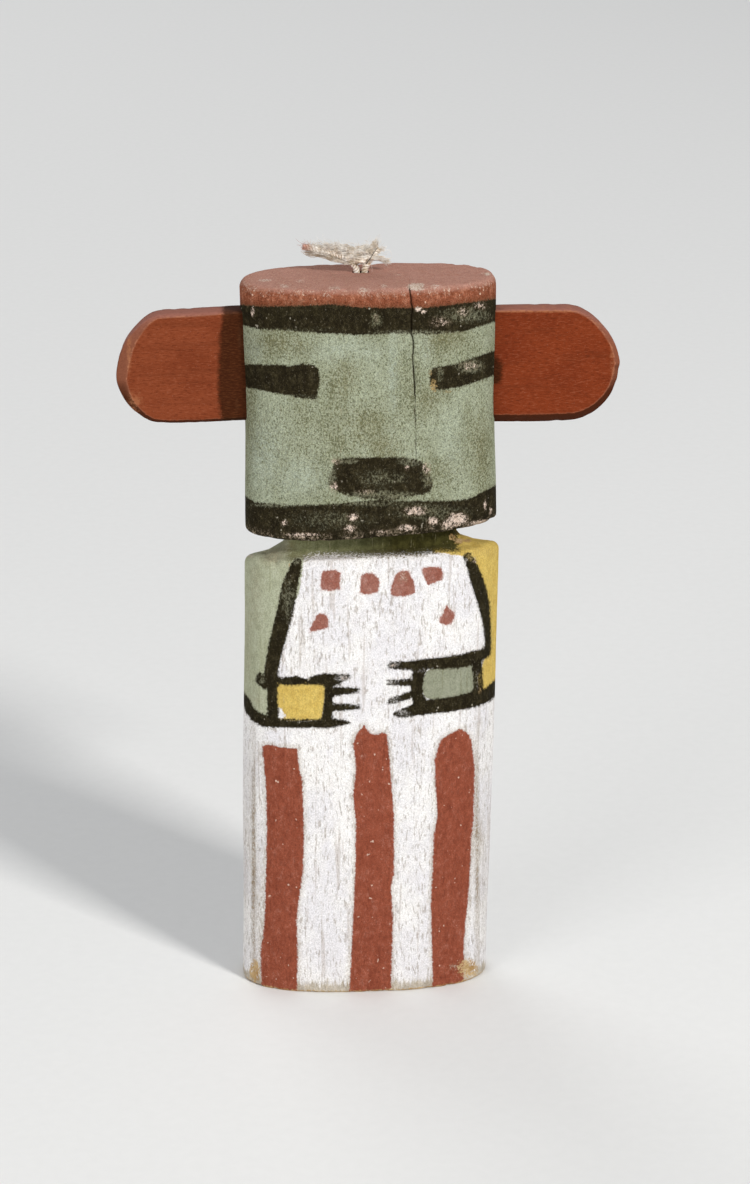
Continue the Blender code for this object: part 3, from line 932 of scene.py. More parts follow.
def make_figure():
    """The carved block with its paint's outlines."""
    rows = figure_rows(figure_turns())
    zones = np.concatenate([np.full(len(ring), zone) for zone, ring in rows])
    rings = [ring for _, ring in rows]
    mesh = mesh_from_rings("painted_figure", rings)
    points = np.concatenate(rings)
    masks = paint_masks(points, zones)
    points = relief(points, get_normals(mesh), zones, masks)
    points[:, 2] = np.maximum(points[:, 2], 0.0)
    set_points(mesh, points)
    carry(mesh, masks)
    add_piece("painted_figure", mesh, "figure", painted_wood())


# Noises as Finish.noises reads them
WOOD_NOISES = {
    "grain": (0.50, 0.12, 3.0, 0.6),
    "long_grain": (1.2, 0.05, 2.0, 0.5),
    "pepper": (0.40, 0.75, 3.0, 0.75),
    "brush": (1.9, 0.6, 6.0, 0.75, 0.34, 0.66),
    "cloud": (8.0, 0.6, 5.0, 0.6, 0.36, 0.64),
    "sand": (0.26, 0.8, 2.0, 0.7, 0.32, 0.68),
    "speck": (1.5, 0.7, 8.0, 0.95, 0.38, 0.62),
    "edge": (0.55, 0.8, 5.0, 0.85, 0.34, 0.66),
    "ticks": (0.62, 0.26, 4.0, 0.62, 0.555, 0.63),
    "crumbs": (0.95, 0.8, 1.0, 0.5, 0.735, 0.775),
}

# Paints: a noise and the two tones that it mixes, then layers as Finish.coat reads them
WHITE = (
    ("cloud", (0.775, 0.760, 0.745), (0.690, 0.676, 0.694)),
    ("speck", 0.30, (0.50, 0.46, 0.45), 0.45, 0.05),
    ("hairs", 0.45, (0.40, 0.36, 0.33)),
    ("ticks", 0.66, (0.33, 0.285, 0.25)),
    ("streaks", 0.40, (0.38, 0.32, 0.28)),
)
MASK_GREEN = (
    ("cloud", (0.290, 0.315, 0.224), (0.246, 0.262, 0.175)),
    ("brush", 0.26, (0.165, 0.172, 0.098), 0.5, 0.0),
    ("speck", 0.35, (0.41, 0.445, 0.352), 0.62, 0.95),
    ("pepper", 0.86, (0.090, 0.092, 0.046), 0.545, 0.635),
    ("hairs", 0.42, (0.085, 0.090, 0.046)),
    ("streaks", 0.22, (0.135, 0.135, 0.070)),
)
# The arm's green is painted lighter than the hand's, to offset shade where the arm turns to the side
ARM_GREEN_LIGHTENED = (
    ("cloud", (0.375, 0.392, 0.280), (0.335, 0.350, 0.240)),
    ("speck", 0.40, (0.50, 0.50, 0.40), 0.70, 1.0),
    ("speck", 0.50, (0.18, 0.19, 0.12), 0.35, 0.1),
    ("streaks", 0.30, (0.20, 0.20, 0.10)),
)
OCHRE = (
    ("brush", (0.60, 0.445, 0.125), (0.50, 0.345, 0.082)),
    ("speck", 0.35, (0.33, 0.22, 0.06), 0.4, 0.1),
)
# The groove's dark olive is partly paint and partly painted shade under the chin
OLIVE_AND_PAINTED_SHADE = (("brush", (0.023, 0.020, 0.0045), (0.060, 0.055, 0.016)),)
MOSS = (("brush", (0.145, 0.152, 0.070), (0.235, 0.243, 0.135)),)
STRIPE_RED = (
    ("brush", (0.256, 0.068, 0.037), (0.215, 0.054, 0.029)),
    ("speck", 0.42, (0.42, 0.19, 0.14), 0.70, 1.0),
    ("speck", 0.55, (0.125, 0.030, 0.017), 0.32, 0.0),
    ("ticks", 0.35, (0.120, 0.030, 0.018)),
    ("crumbs", 0.75, (0.62, 0.47, 0.38)),
)
BAND_RED = (
    ("brush", (0.238, 0.075, 0.039), (0.186, 0.053, 0.025)),
    ("speck", 0.62, (0.40, 0.187, 0.114), 0.58, 0.90),
    ("speck", 0.70, (0.115, 0.034, 0.015), 0.40, 0.05),
    ("crumbs", 0.80, (0.66, 0.50, 0.38)),
)
CROWN_RED = (
    ("brush", (0.415, 0.224, 0.174), (0.363, 0.176, 0.129)),
    ("speck", 0.35, (0.24, 0.105, 0.072), 0.40, 0.05),
)
DOT_RED = (
    ("brush", (0.232, 0.077, 0.053), (0.280, 0.122, 0.093)),
    ("speck", 0.35, (0.52, 0.34, 0.30), 0.60, 0.95),
)
BLACK = (
    ("brush", (0.0098, 0.0072, 0.0028), (0.0185, 0.0145, 0.0063)),
    ("speck", 0.32, (0.098, 0.082, 0.042), 0.60, 0.95),
    ("edge", 0.35, (0.25, 0.22, 0.15), 0.90, 1.0),
    ("crumbs", 0.55, (0.42, 0.38, 0.30)),
)


def painted_wood():
    """Matt paint on carved wood: white ground, then green, yellow, red and black, rubbed and stained."""
    f = Finish("painted_wood")
    noises = f.noises(WOOD_NOISES, 2)
    grain, brush, cloud, speck, edge = (noises[name] for name in ("grain", "brush", "cloud", "speck", "edge"))
    noises["hairs"] = f.ramp(grain, 0.60, 0.70)
    noises["streaks"] = f.ramp(noises["long_grain"], 0.60, 0.68)
    # Stains, and painted shade along the chest's top under the chin
    stains_and_shade = f.math("MULTIPLY", f.mask("stains_and_shade"), f.ramp(cloud, 0.0, 0.5, 0.75, 1.0))
    pepper = f.math("MULTIPLY_ADD", stains_and_shade, 0.13, noises["pepper"])
    noises["pepper"] = f.math("MULTIPLY_ADD", cloud, 0.05, pepper)
    on_mask = f.inside("mask_green", edge)

    # Painted light: the arm's green is lighter to make up for shade at the side, and the hand is a darker
    # copy of it
    arm = f.coat(noises, *ARM_GREEN_LIGHTENED)
    hand_darker_copy = f.mix(1.0, arm, (0.71, 0.71, 0.73), "MULTIPLY")
    # The groove goes from lighter moss at its lit left corner to dark olive, partly painted shade under the
    # chin
    olive_and_shade = f.mix(f.mask("groove_painted_shade"), f.coat(noises, *MOSS), f.coat(noises, *OLIVE_AND_PAINTED_SHADE))
    olive_and_shade = f.over(olive_and_shade, (0.26, 0.24, 0.14), noises["hairs"], 0.4)
    colour = f.mix(on_mask, f.coat(noises, *WHITE), f.coat(noises, *MASK_GREEN))
    colour = f.mix(f.inside("arm_green", edge, grow=0.30), colour, arm)
    colour = f.mix(f.inside("hand_green", edge, grow=0.30), colour, hand_darker_copy)
    colour = f.mix(f.inside("yellow", edge, grow=0.30), colour, f.coat(noises, *OCHRE))
    colour = f.mix(f.inside("groove", edge, 1.0, 0.6), colour, olive_and_shade)

    colour = f.over(colour, (0.365, 0.416, 0.352), f.mask("pale"), f.ramp(edge, 0.1, 0.8))
    # The stains' tone, which also paints the shade under the chin
    dirt_and_shade = f.mix(on_mask, (0.250, 0.185, 0.115), (0.165, 0.145, 0.068))
    colour = f.over(colour, dirt_and_shade, stains_and_shade, f.ramp(edge, 0.9, 0.1, 0.25, 0.75))
    grimy = f.ramp(f.math("MULTIPLY_ADD", grain, 1.9, f.mask("base_rim")), 1.20, 1.65)
    colour = f.over(colour, f.mix(brush, (0.22, 0.17, 0.095), (0.46, 0.39, 0.28)), grimy, 0.70)

    colour = f.over(colour, (0.36, 0.29, 0.215), f.inside("stripes", edge, 0.50, 0.75, 0.60), 0.46)
    colour = f.mix(f.inside("stripes", edge, 0.22, 0.18), colour, f.coat(noises, *STRIPE_RED))
    colour = f.over(colour, (0.58, 0.40, 0.35), f.inside("dots", edge, 0.30, 0.30, 0.18), 0.40)
    colour = f.mix(f.inside("dots", edge, 0.22, 0.20), colour, f.coat(noises, *DOT_RED))
    top = f.mix(f.mask("crown"), f.coat(noises, *BAND_RED), f.coat(noises, *CROWN_RED))
    low = f.ramp(f.math("MULTIPLY_ADD", edge, 0.8, f.mask("top")), -1.6, 0.6)
    top = f.over(top, (0.105, 0.034, 0.015), low, 0.62)
    colour = f.mix(f.inside("top", edge, 0.30, 0.16, 0.8), colour, top)
    kept = f.math("MULTIPLY_ADD", f.speckled("faded", edge, 0.25), -0.72, 1.0)
    colour = f.over(colour, (0.115, 0.090, 0.050), f.inside("black", edge, 0.35, 0.30, 0.14), 0.45)
    on_black = f.math("MULTIPLY", f.inside("black", edge, 0.24, 0.17), kept)
    colour = f.mix(on_black, colour, f.coat(noises, *BLACK))

    thin = f.speckled("rubbed", f.ramp(edge, 0.2, 0.7), 0.3)
    thin_tone = f.mix(f.mask("crown"), (0.30, 0.225, 0.155), (0.56, 0.34, 0.27))
    colour = f.over(colour, thin_tone, thin, 0.45)
    rubbed = f.speckled("rubbed", f.math("MULTIPLY", edge, f.ramp(speck, 0.1, 0.7, 0.6, 1.1)), 0.10)
    colour = f.mix(rubbed, colour, f.mix(speck, (0.42, 0.31, 0.235), (0.68, 0.56, 0.475)))
    rim = f.math("MULTIPLY", f.ramp(edge, 0.60, 0.85), f.ramp(brush, 0.3, 0.7))
    colour = f.over(colour, (0.58, 0.44, 0.35), f.math("MULTIPLY", f.mask("rim"), rim), 0.75)
    chin = f.math("MULTIPLY", f.ramp(edge, 0.45, 0.80), f.ramp(brush, 0.25, 0.75))
    colour = f.over(colour, (0.42, 0.33, 0.24), f.math("MULTIPLY", f.mask("chin_rim"), chin), 0.60)
    pale_tan = f.mix(brush, (0.34, 0.20, 0.075), (0.50, 0.36, 0.19))
    dark_tan = f.mix(brush, (0.16, 0.105, 0.040), (0.33, 0.235, 0.105))
    colour = f.mix(f.speckled("tan", edge), colour, f.mix(on_mask, pale_tan, dark_tan))
    bare = f.mix(grain, (0.20, 0.14, 0.08), (0.34, 0.25, 0.15))
    colour = f.over(colour, bare, f.mask("underneath"), 0.85)
    sandy = f.math("MULTIPLY_ADD", on_mask, 0.12, 0.16)
    colour = f.shade(colour, noises["sand"], f.math("SUBTRACT", 1.0, sandy), f.math("ADD", 1.0, sandy))

    # The crack's opening is painted near-black: painted shade inside the crack
    wander = f.math("MULTIPLY_ADD", edge, 0.18, f.math("ADD", f.mask("crack"), -0.09))
    open_width = f.math("MULTIPLY", f.mask("crack_width"), f.math("MULTIPLY_ADD", speck, 0.9, 0.15))
    apart = f.math("SUBTRACT", f.math("ABSOLUTE", wander), open_width)
    colour = f.mix(f.ramp(apart, -0.06, 0.06, 1.0, 0.0), colour, (0.030, 0.021, 0.011))
    # The hole's wall is painted dark: painted shade inside the hole
    colour = f.mix(f.mask("hole"), colour, (0.05, 0.022, 0.013))
    height = f.heap(
        (grain, 0.07), (noises["long_grain"], 0.06), (brush, 0.030), (noises["sand"], 0.010), (speck, 0.020),
        (on_black, 0.018), (rubbed, -0.030),
    )
    f.finish(colour, f.ramp(brush, 0.0, 1.0, 0.80, 0.95), height)
    return f.material


# The ears

LEFT_EAR_OUTLINE = (
    (240, 306.3), (224, 307), (190, 309), (162, 310.3), (154, 312), (145, 317), (135.5, 325.8),
    (126.8, 337), (120.7, 350.5), (117.6, 364), (116.6, 378), (118.4, 387), (125, 400), (134.2, 410.3),
    (145, 417.7), (158, 421.7), (190, 422), (241, 419.7),
)
RIGHT_EAR_OUTLINE = (
    (496, 305.5), (523, 305), (560, 304.8), (572, 305.6), (581, 308.2), (591, 314), (601, 323),
    (609.5, 333.5), (615, 345), (617.7, 357), (618.2, 368), (616, 380), (611.2, 392), (604, 402.3),
    (593.5, 412), (580.5, 418.8), (565, 421.3), (530, 422.5), (496, 422.5),
)
EAR_STAINS = (
    ((222, 290), (222.5, 316), (220, 330), (218.5, 360), (218, 392), (219, 408), (221, 418), (222, 440),
     (262, 440), (262, 290)),
    ((480, 355), (498, 358), (502.5, 365), (502, 377), (498.5, 384), (480, 386)),
)
WORN_EARS = (
    (135, 402, 8, 12, 0.70), (129, 352, 2.5, 22, 0.75), (240, 337, 3, 12, 0.8), (237, 406, 2.5, 9, 0.6),
    (540, 311.5, 46, 1.3, 0.85), (612, 362, 3, 20, 0.55), (600, 322, 6, 6, 0.5),
)
EAR_POINTS = 260
# An ear's rings, as shares of the way from its spine to its outline, and its edge's from front to back
EAR_SHARES = 1.0 - np.concatenate([np.linspace(0.0, 0.16, 18), np.linspace(0.18, 0.98, 22)])
EAR_BELLY_SHARES = (0.25, 0.5, 0.75)
EAR_BELLY = 0.00010
# How steeply the rims drop at the top, the tip and the underside, how soft, and how far at most
EAR_STEEPNESS = (0.80, 0.55, 1.00)
EAR_RIM_SOFTNESS = 0.03
EAR_DEEPEST_DROP = 0.42
# Relief and knocks in millimetres
EAR_RELIEF = ((0.05, 5.0, 0.25, 0.0), (0.02, 1.2, 0.12, 7.0))
EAR_KNOCK_DEPTH = 0.25
EAR_KNOCK_PERIOD = 2.4
EAR_KNOCK_START = 0.1
EAR_KNOCK_REACH = 1.2
# The share of the thickness at which the outline's edges are seen
EAR_EDGE_SEEN = 0.30
LEFT_EAR_THICKNESS = 0.0060
RIGHT_EAR_THICKNESS = 0.0055
# An ear's bevels are for its top, its tip and its underside. Its tones are its paint's light and dark.
EARS = (
    dict(name="left_ear_tab", node="left_ear", side=-1, pixels=LEFT_EAR_OUTLINE, seed=2.0,
         thickness=LEFT_EAR_THICKNESS, bevels=(0.0004, 0.0025, 0.0009),
         tones=((0.193, 0.044, 0.0160), (0.158, 0.033, 0.0110))),
    dict(name="right_ear_tab", node="right_ear", side=1, pixels=RIGHT_EAR_OUTLINE, seed=31.0,
         thickness=RIGHT_EAR_THICKNESS, bevels=(0.0003, 0.0013, 0.0024),
         tones=((0.176, 0.031, 0.0085), (0.146, 0.024, 0.0065))),
)
EAR_NOISES = {
    "grain": (0.30, 0.22, 4.0, 0.7),
    "wide_grain": (1.3, 0.06, 3.0, 0.6),
    "cloud": (6.0, 0.6, 3.0, 0.55, 0.35, 0.68),
    "speck": (0.34, 0.6, 3.0, 0.7),
    "torn": (0.8, 0.7, 5.0, 0.8, 0.34, 0.66),
}
EAR_RED_LAYERS = (
    ("grain", 0.42, (0.27, 0.085, 0.042), 0.52, 0.66),
    ("grain", 0.62, (0.085, 0.016, 0.005), 0.48, 0.36),
    ("wide_grain", 0.32, (0.105, 0.022, 0.007), 0.50, 0.70),
    ("speck", 0.5, (0.34, 0.15, 0.10), 0.64, 0.74),
)


def distance_along(path):
    """How far along a path each of its points is."""
    return np.concatenate([[0.0], np.cumsum(np.linalg.norm(np.diff(path, axis=0), axis=1))])


def smooth_line(points, steps):
    """Points spread evenly along a smooth curve through the given ones."""
    points = np.asarray(points, float)
    ends = np.concatenate([[2 * points[0] - points[1]], points, [2 * points[-1] - points[-2]]])
    spans = len(points) - 1
    where = np.linspace(0.0, spans, steps * 8 + 1)
    span = np.minimum(where.astype(int), spans - 1)
    share = (where - span)[:, None]
    before, here, there, after = (ends[span + shift] for shift in range(4))
    bend = 2 * before - 5 * here + 4 * there - after
    swing = 3 * here - before - 3 * there + after
    dense = (2 * here + (there - before) * share + bend * share ** 2 + swing * share ** 3) / 2
    along = distance_along(dense)
    even = np.linspace(0.0, along[-1], steps + 1)
    return np.stack([np.interp(even, along, dense[:, axis]) for axis in range(dense.shape[1])], -1)


def ear_outline(pixels, side, thickness, node):
    """A tab's outline in X and Z. Its upper edge is read at its back and its lower edge at its front."""
    low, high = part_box(node)
    middle = (low[2] + high[2]) / 2
    places = []
    for across, down in pixels:
        upper = from_photo(across, down, 0.0).z > middle
        point = from_photo(across, down, thickness * (EAR_EDGE_SEEN if upper else -EAR_EDGE_SEEN))
        places.append((point.x, point.z))
    inner = high[0] if side < 0 else low[0]
    outline = smooth_line([(inner, places[0][1])] + places + [(inner, places[-1][1])], EAR_POINTS)
    return outline[::-1] if side < 0 else outline


def make_ear(name, node, side, pixels, seed, thickness, bevels, tones):
    """A tab with a flat front, worn bevels all round and a half-round tip."""
    outline = ear_outline(pixels, side, thickness, node)
    low, high = outline.min(0), outline.max(0)
    middle = (low[1] + high[1]) / 2
    half = (high[1] - low[1]) / 2
    if side > 0:
        spine_x = np.minimum(outline[:, 0], high[0] - half)
    else:
        spine_x = np.maximum(outline[:, 0], low[0] + half)
    spine = np.stack([spine_x, np.full(len(outline), middle)], -1)
    upper = np.clip((outline[:, 1] - middle) / half, -1.0, 1.0)
    above = np.maximum(upper, 0.0) ** 2
    below = np.maximum(-upper, 0.0) ** 2
    weights = np.stack([above, 1.0 - above - below, below])
    bevel = np.array(bevels) @ weights
    steepness = np.array(EAR_STEEPNESS) @ weights

    def face_rings(direction, shares):
        """Rings of the front or the back, whose rims drop away over the bevel."""
        rings = []
        for share in shares:
            spot = spine + (outline - spine) * share
            slope = np.clip(1.0 - np.linalg.norm(outline - spot, axis=1) / bevel, 0.0, 1.0)
            drop = (np.sqrt(slope ** 2 + EAR_RIM_SOFTNESS) - math.sqrt(EAR_RIM_SOFTNESS)) * bevel * steepness
            y = direction * (thickness / 2 - np.minimum(drop, thickness * EAR_DEEPEST_DROP))
            rings.append(np.stack([spot[:, 0], y, spot[:, 1]], -1))
        return rings

    front = face_rings(-1.0, EAR_SHARES[::-1])
    back = face_rings(1.0, EAR_SHARES)
    outward = (outline - spine) / np.linalg.norm(outline - spine, axis=1)[:, None]
    belly = []
    for share in EAR_BELLY_SHARES:
        ring = front[-1] * (1 - share) + back[0] * share
        ring[:, [0, 2]] += outward * EAR_BELLY * math.sin(math.pi * share)
        belly.append(ring)
    rings = front + belly + back
    mesh = mesh_from_rings(name, rings)
    points = np.concatenate(rings)
    normals = get_normals(mesh)
    inward = np.concatenate([np.linalg.norm(outline - ring[:, [0, 2]], axis=1) for ring in rings]) / MM
    knocks = np.maximum(noise_at(points, EAR_KNOCK_PERIOD, seed=seed + 19) - EAR_KNOCK_START, 0.0)
    rise = bumps(points, 0, EAR_RELIEF, seed) - EAR_KNOCK_DEPTH * knocks * hill(inward, 0.0, EAR_KNOCK_REACH)
    points = points + normals * (rise * MM)[:, None]
    set_points(mesh, points)
    u, v = on_photo(points)
    stain_away = nearest_shape(u, v, EAR_STAINS) * PIXEL_ON_DOLL / MM
    carry(mesh, {
        "edge": inward,
        "bevel": np.tile(bevel, len(rings)) / MM,
        "upward": np.clip(normals[:, 2], 0.0, 1.0),
        # Where the bevels face down, which the paint darkens as painted shade
        "downward": np.clip(-normals[:, 2] * 4.0, 0.0, 1.0),
        "worn": patches(u, v, WORN_EARS) * np.exp(-np.maximum(points[:, 1], 0.0) / MM),
        "stain": stain_away + np.maximum(points[:, 1] - 0.002, 0.0) / MM,
    })
    return add_piece(name, mesh, node, red_paint(name, tones))


def red_paint(name, tones):
    """Thin red paint over a wood whose grain runs across the doll, rubbed mauve and peach at its edges."""
    f = Finish("red_paint_" + name)
    noises = f.noises(EAR_NOISES, 0)
    grain, torn = noises["grain"], noises["torn"]
    red = f.coat(noises, ("cloud", *tones), *EAR_RED_LAYERS)
    inward = f.math("SUBTRACT", f.mask("edge"), f.mask("bevel"))
    inward = f.math("ADD", inward, f.math("MULTIPLY_ADD", torn, 0.36, -0.18))
    band = f.mix(f.ramp(f.mask("upward"), 0.15, 0.75), (0.205, 0.074, 0.041), (0.300, 0.128, 0.096))
    band = f.over(band, (0.14, 0.040, 0.022), f.ramp(grain, 0.40, 0.52, 1.0, 0.0), 0.35)
    # Painted shade: the bevels that face down are painted near-black
    band = f.over(band, (0.034, 0.0085, 0.0016), f.mask("downward"), 0.95)
    colour = f.over(red, band, f.ramp(inward, -0.18, 0.12, 1.0, 0.0), 0.88)
    line = f.ramp(f.math("ABSOLUTE", inward), 0.04, 0.26, 1.0, 0.0)
    line = f.math("MULTIPLY", line, f.ramp(torn, 0.3, 0.9, 0.10, 0.60))
    line = f.math("MULTIPLY", line, f.math("SUBTRACT", 1.0, f.mask("downward")))
    colour = f.mix(line, colour, (0.40, 0.175, 0.100))
    colour = f.over(colour, (0.36, 0.145, 0.066), f.speckled("worn", torn, 0.35), 0.50)
    dark = f.mix(f.ramp(grain, 0.45, 0.65), (0.019, 0.0055, 0.0008), (0.048, 0.0165, 0.0045))
    colour = f.over(colour, dark, f.inside("stain", torn, 0.30, 0.75), 0.86)
    height = f.heap((grain, 0.055), (noises["wide_grain"], 0.05), (noises["speck"], 0.02))
    f.finish(colour, f.ramp(grain, 0.2, 0.8, 0.66, 0.84), height, 0.9)
    return f.material


# The string

def string_route():
    """The string's own points, from its left end down through the hole and up to its right end."""
    run = (STRING_DIAMETER + CLEARANCE) / 2
    floor = STRING_DIAMETER / 2 + CLEARANCE - HOLE_DEPTH
    left = (
        (-0.0133, 0.0013, 0.0056), (-0.0100, 0.0009, 0.0051), (-0.0067, 0.0005, 0.0043),
        (-0.0036, 0.0002, 0.0031), (-0.0017, 0.0000, 0.0016),
    )
    down = ((run, 0.0, 0.0), (run, 0.0, floor + 2 * run), (run * 0.72, 0.0, floor + 0.3 * run))
    right = ((0.0016, 0.0000, 0.0016), (0.0027, 0.0003, 0.0032), (0.0043, 0.0008, 0.0049))
    shape = (*left, *((-x, y, z) for x, y, z in down), (0.0, 0.0, floor), *down[::-1], *right)
    return [(HOLE_X + x, HOLE_Y + y, HEIGHT + z) for x, y, z in shape]


def frames_along(path):
    """Two directions across a path at each of its points, carried along without twisting."""
    tangents = np.gradient(path, axis=0)
    tangents /= np.linalg.norm(tangents, axis=1)[:, None]
    side = np.cross(tangents[0], (0.0, 1.0, 0.2))
    sides = []
    for tangent in tangents:
        side = side - tangent * (side @ tangent)
        side /= np.linalg.norm(side)
        sides.append(side.copy())
    sides = np.array(sides)
    return sides, np.cross(tangents, sides)


def level_frames(paths):
    """Two directions across each of many paths, at each of their points."""
    tangents = np.gradient(paths, axis=1)
    tangents /= np.linalg.norm(tangents, axis=2)[..., None] + 1e-12
    across = np.cross(tangents, (0.0, 1.0, 0.2))
    across /= np.linalg.norm(across, axis=2)[..., None] + 1e-12
    return across, np.cross(tangents, across)


def tubes(paths, frames, radii, sides_count):
    """Points and faces of closed tubes. The paths and their frames are arrays of tube, step and place."""
    angles = 2 * math.pi * np.arange(sides_count) / sides_count
    across, over = (each[:, :, None] for each in frames)
    circle = across * np.cos(angles)[:, None] + over * np.sin(angles)[:, None]
    points = paths[:, :, None] + circle * radii[:, :, None, None]
    return points.reshape(-1, 3), closed_faces(*paths.shape[:2], sides_count)


def twisted(name, path, twists, offset, radius, sides_count):
    """A mesh of plies that wind round a path, and its points."""
    across, over = frames_along(path)
    lines = []
    for ply in range(STRING_PLIES):
        angle = 2 * math.pi * (twists + ply / STRING_PLIES)
        lines.append(path + (across * np.cos(angle)[:, None] + over * np.sin(angle)[:, None]) * offset)
    frames = np.stack([frames_along(line) for line in lines], 1)
    radii = np.full((STRING_PLIES, len(path)), radius)
    points, faces = tubes(np.array(lines), frames, radii, sides_count)
    return mesh_of(name, points, faces), points


# The frayed ends' locks: guide points in millimetres from the hole's top, spread at the start and the end,
# strands and fibres in each, fibre radius in millimetres and how dark they are with grime and painted shade
LOCKS = (
    (((0.5, 0.0, 4.2), (-4.5, 0.4, 4.7), (-9.0, 0.9, 5.0), (-13.0, 1.2, 5.5)), 1.1, 0.85, 11, 18, 0.058,
     0.15),
    (((-0.6, -0.3, 2.9), (-4.5, 0.1, 3.1), (-8.5, 0.5, 3.9), (-12.6, 0.9, 4.7)), 1.1, 0.6, 9, 17, 0.058,
     0.62),
    (((-1.5, 0.0, 4.8), (-4.5, 0.3, 5.5), (-8.6, 0.6, 6.2)), 0.8, 0.9, 6, 12, 0.045, 0.05),
    (((-3.8, -0.4, 2.7), (0.0, -1.0, 3.0), (3.0, -0.2, 3.1)), 1.15, 1.0, 11, 18, 0.060, 0.15),
    (((-2.8, 0.1, 4.4), (0.4, -0.3, 4.9), (3.2, 0.3, 4.7)), 0.9, 0.9, 9, 16, 0.054, 0.00),
    (((0.6, 0.0, 4.0), (2.7, 0.3, 5.2), (4.1, 0.7, 6.6)), 0.8, 1.1, 8, 13, 0.048, 0.05),
    (((0.8, -0.3, 3.5), (3.9, 0.0, 3.3), (6.9, 0.2, 2.0)), 0.95, 0.10, 9, 14, 0.054, 0.05),
    (((2.0, 0.2, 4.0), (4.2, 0.5, 4.6), (6.3, 0.6, 4.7)), 0.4, 0.5, 2, 8, 0.045, 0.20),
)
STRAY_ROOTS = (0.28, 0.08, 0.22, 0.10, 0.12, 0.16, 0.04)
STRAYS = 420
STRAND_RADIUS = 0.40
STRAND_TWIST = 5.0
LOOSE_FIBRE = ((4.4, 0.5, 4.3), (5.8, 0.5, 4.7), (6.9, 0.5, 4.6), (7.3, 0.5, 3.4))
DARK_HAIR = ((1.2, -2.2, 2.2), (2.3, -2.3, 3.8), (3.7, -2.0, 5.9))
FIBRE_STEPS = 20
FIBRE_SIDES = 3
# How dark the string is at distances from its middle, in thicknesses: grime, and painted shade between the
# plies
FOLD_GRIME_AND_SHADE = ((0.32, 0.47), (2.2, 0.30))

# The knot's coil: its turns and half sizes, its drift in half a turn, its middle above the hole, its plies
KNOT_STEPS = 60
KNOT_TURNS = 1.75
KNOT_HALF_SIZE = (0.00165, 0.00120, 0.00080)
KNOT_DRIFT = 0.0004
KNOT_TILT = 0.7
KNOT_MIDDLE = (-0.0004, -0.0001, 0.0034)
KNOT_PLY_STEPS = 17
KNOT_PLY_OFFSET = 0.00028
KNOT_PLY_RADIUS = 0.00030
COTTON_NOISES = {
    "fibre": (0.22, 0.5, 3.0, 0.7, 0.34, 0.66),
    "cloud": (1.8, 1.0, 3.0, 0.6, 0.36, 0.64),
}


def lock_of_fibres(chance, guide, spreads, strands, fibres):
    """Wavy strands that follow a guide, each a thin twisted bundle of fibres."""
    shares = np.linspace(0.0, 1.0, FIBRE_STEPS)

    def around(count, spread, twist):
        angles = chance.uniform(0, 2 * math.pi, (count, 1)) + shares * twist
        away = np.sqrt(chance.random((count, 1))) * spread
        return np.stack([np.zeros((count, FIBRE_STEPS)), away * np.cos(angles), away * np.sin(angles)], -1)

    def wander(count, size):
        waves = chance.normal(0.0, size, (count, 3, 4)) * (0.9, 0.7, 0.55, 0.40)
        phases = 2 * math.pi * shares * np.array([0.8, 1.6, 2.8, 4.4])[:, None]
        shifts = chance.uniform(0, 2 * math.pi, (count, 3, 4))
        return np.einsum("nak,nakt->nta", waves, np.sin(phases + shifts[..., None])) * (0.3 + shares)[:, None]

    line = smooth_line(guide, FIBRE_STEPS - 1)
    spread = spreads[0] + (spreads[1] - spreads[0]) * shares
    middles = line + around(strands, spread, 0.8) + wander(strands, 0.24)
    paths = np.repeat(middles, fibres, axis=0)
    count = len(paths)
    paths = paths + around(count, STRAND_RADIUS, STRAND_TWIST) + wander(count, 0.08)
    reach = chance.uniform(0.84, 1.06, (count, 1))
    paths[:, :, 0] = line[0, 0] + (paths[:, :, 0] - line[0, 0]) * (1 + (reach - 1) * shares)
    return paths


def stray_hair(chance):
    """One hair that leaves a lock somewhere along it and bends away."""
    guide = np.array(LOCKS[chance.choice(len(STRAY_ROOTS), p=STRAY_ROOTS)][0])
    share = chance.random() * (len(guide) - 1)
    low = min(int(share), len(guide) - 2)
    root = guide[low] + (guide[low + 1] - guide[low]) * (share - low) + chance.normal(0.0, 0.6, 3)
    ahead = guide[-1] - guide[0]
    direction = chance.normal(0.0, 0.8, 3) + ahead / np.linalg.norm(ahead) * 1.2 + (0.0, 0.0, 0.6)
    direction /= np.linalg.norm(direction)
    bend = chance.normal(0.0, 0.5, 3)
    shares = np.linspace(0.0, 1.0, FIBRE_STEPS)[:, None]
    return root + direction * shares * chance.uniform(0.8, 2.6) + bend * shares ** 2


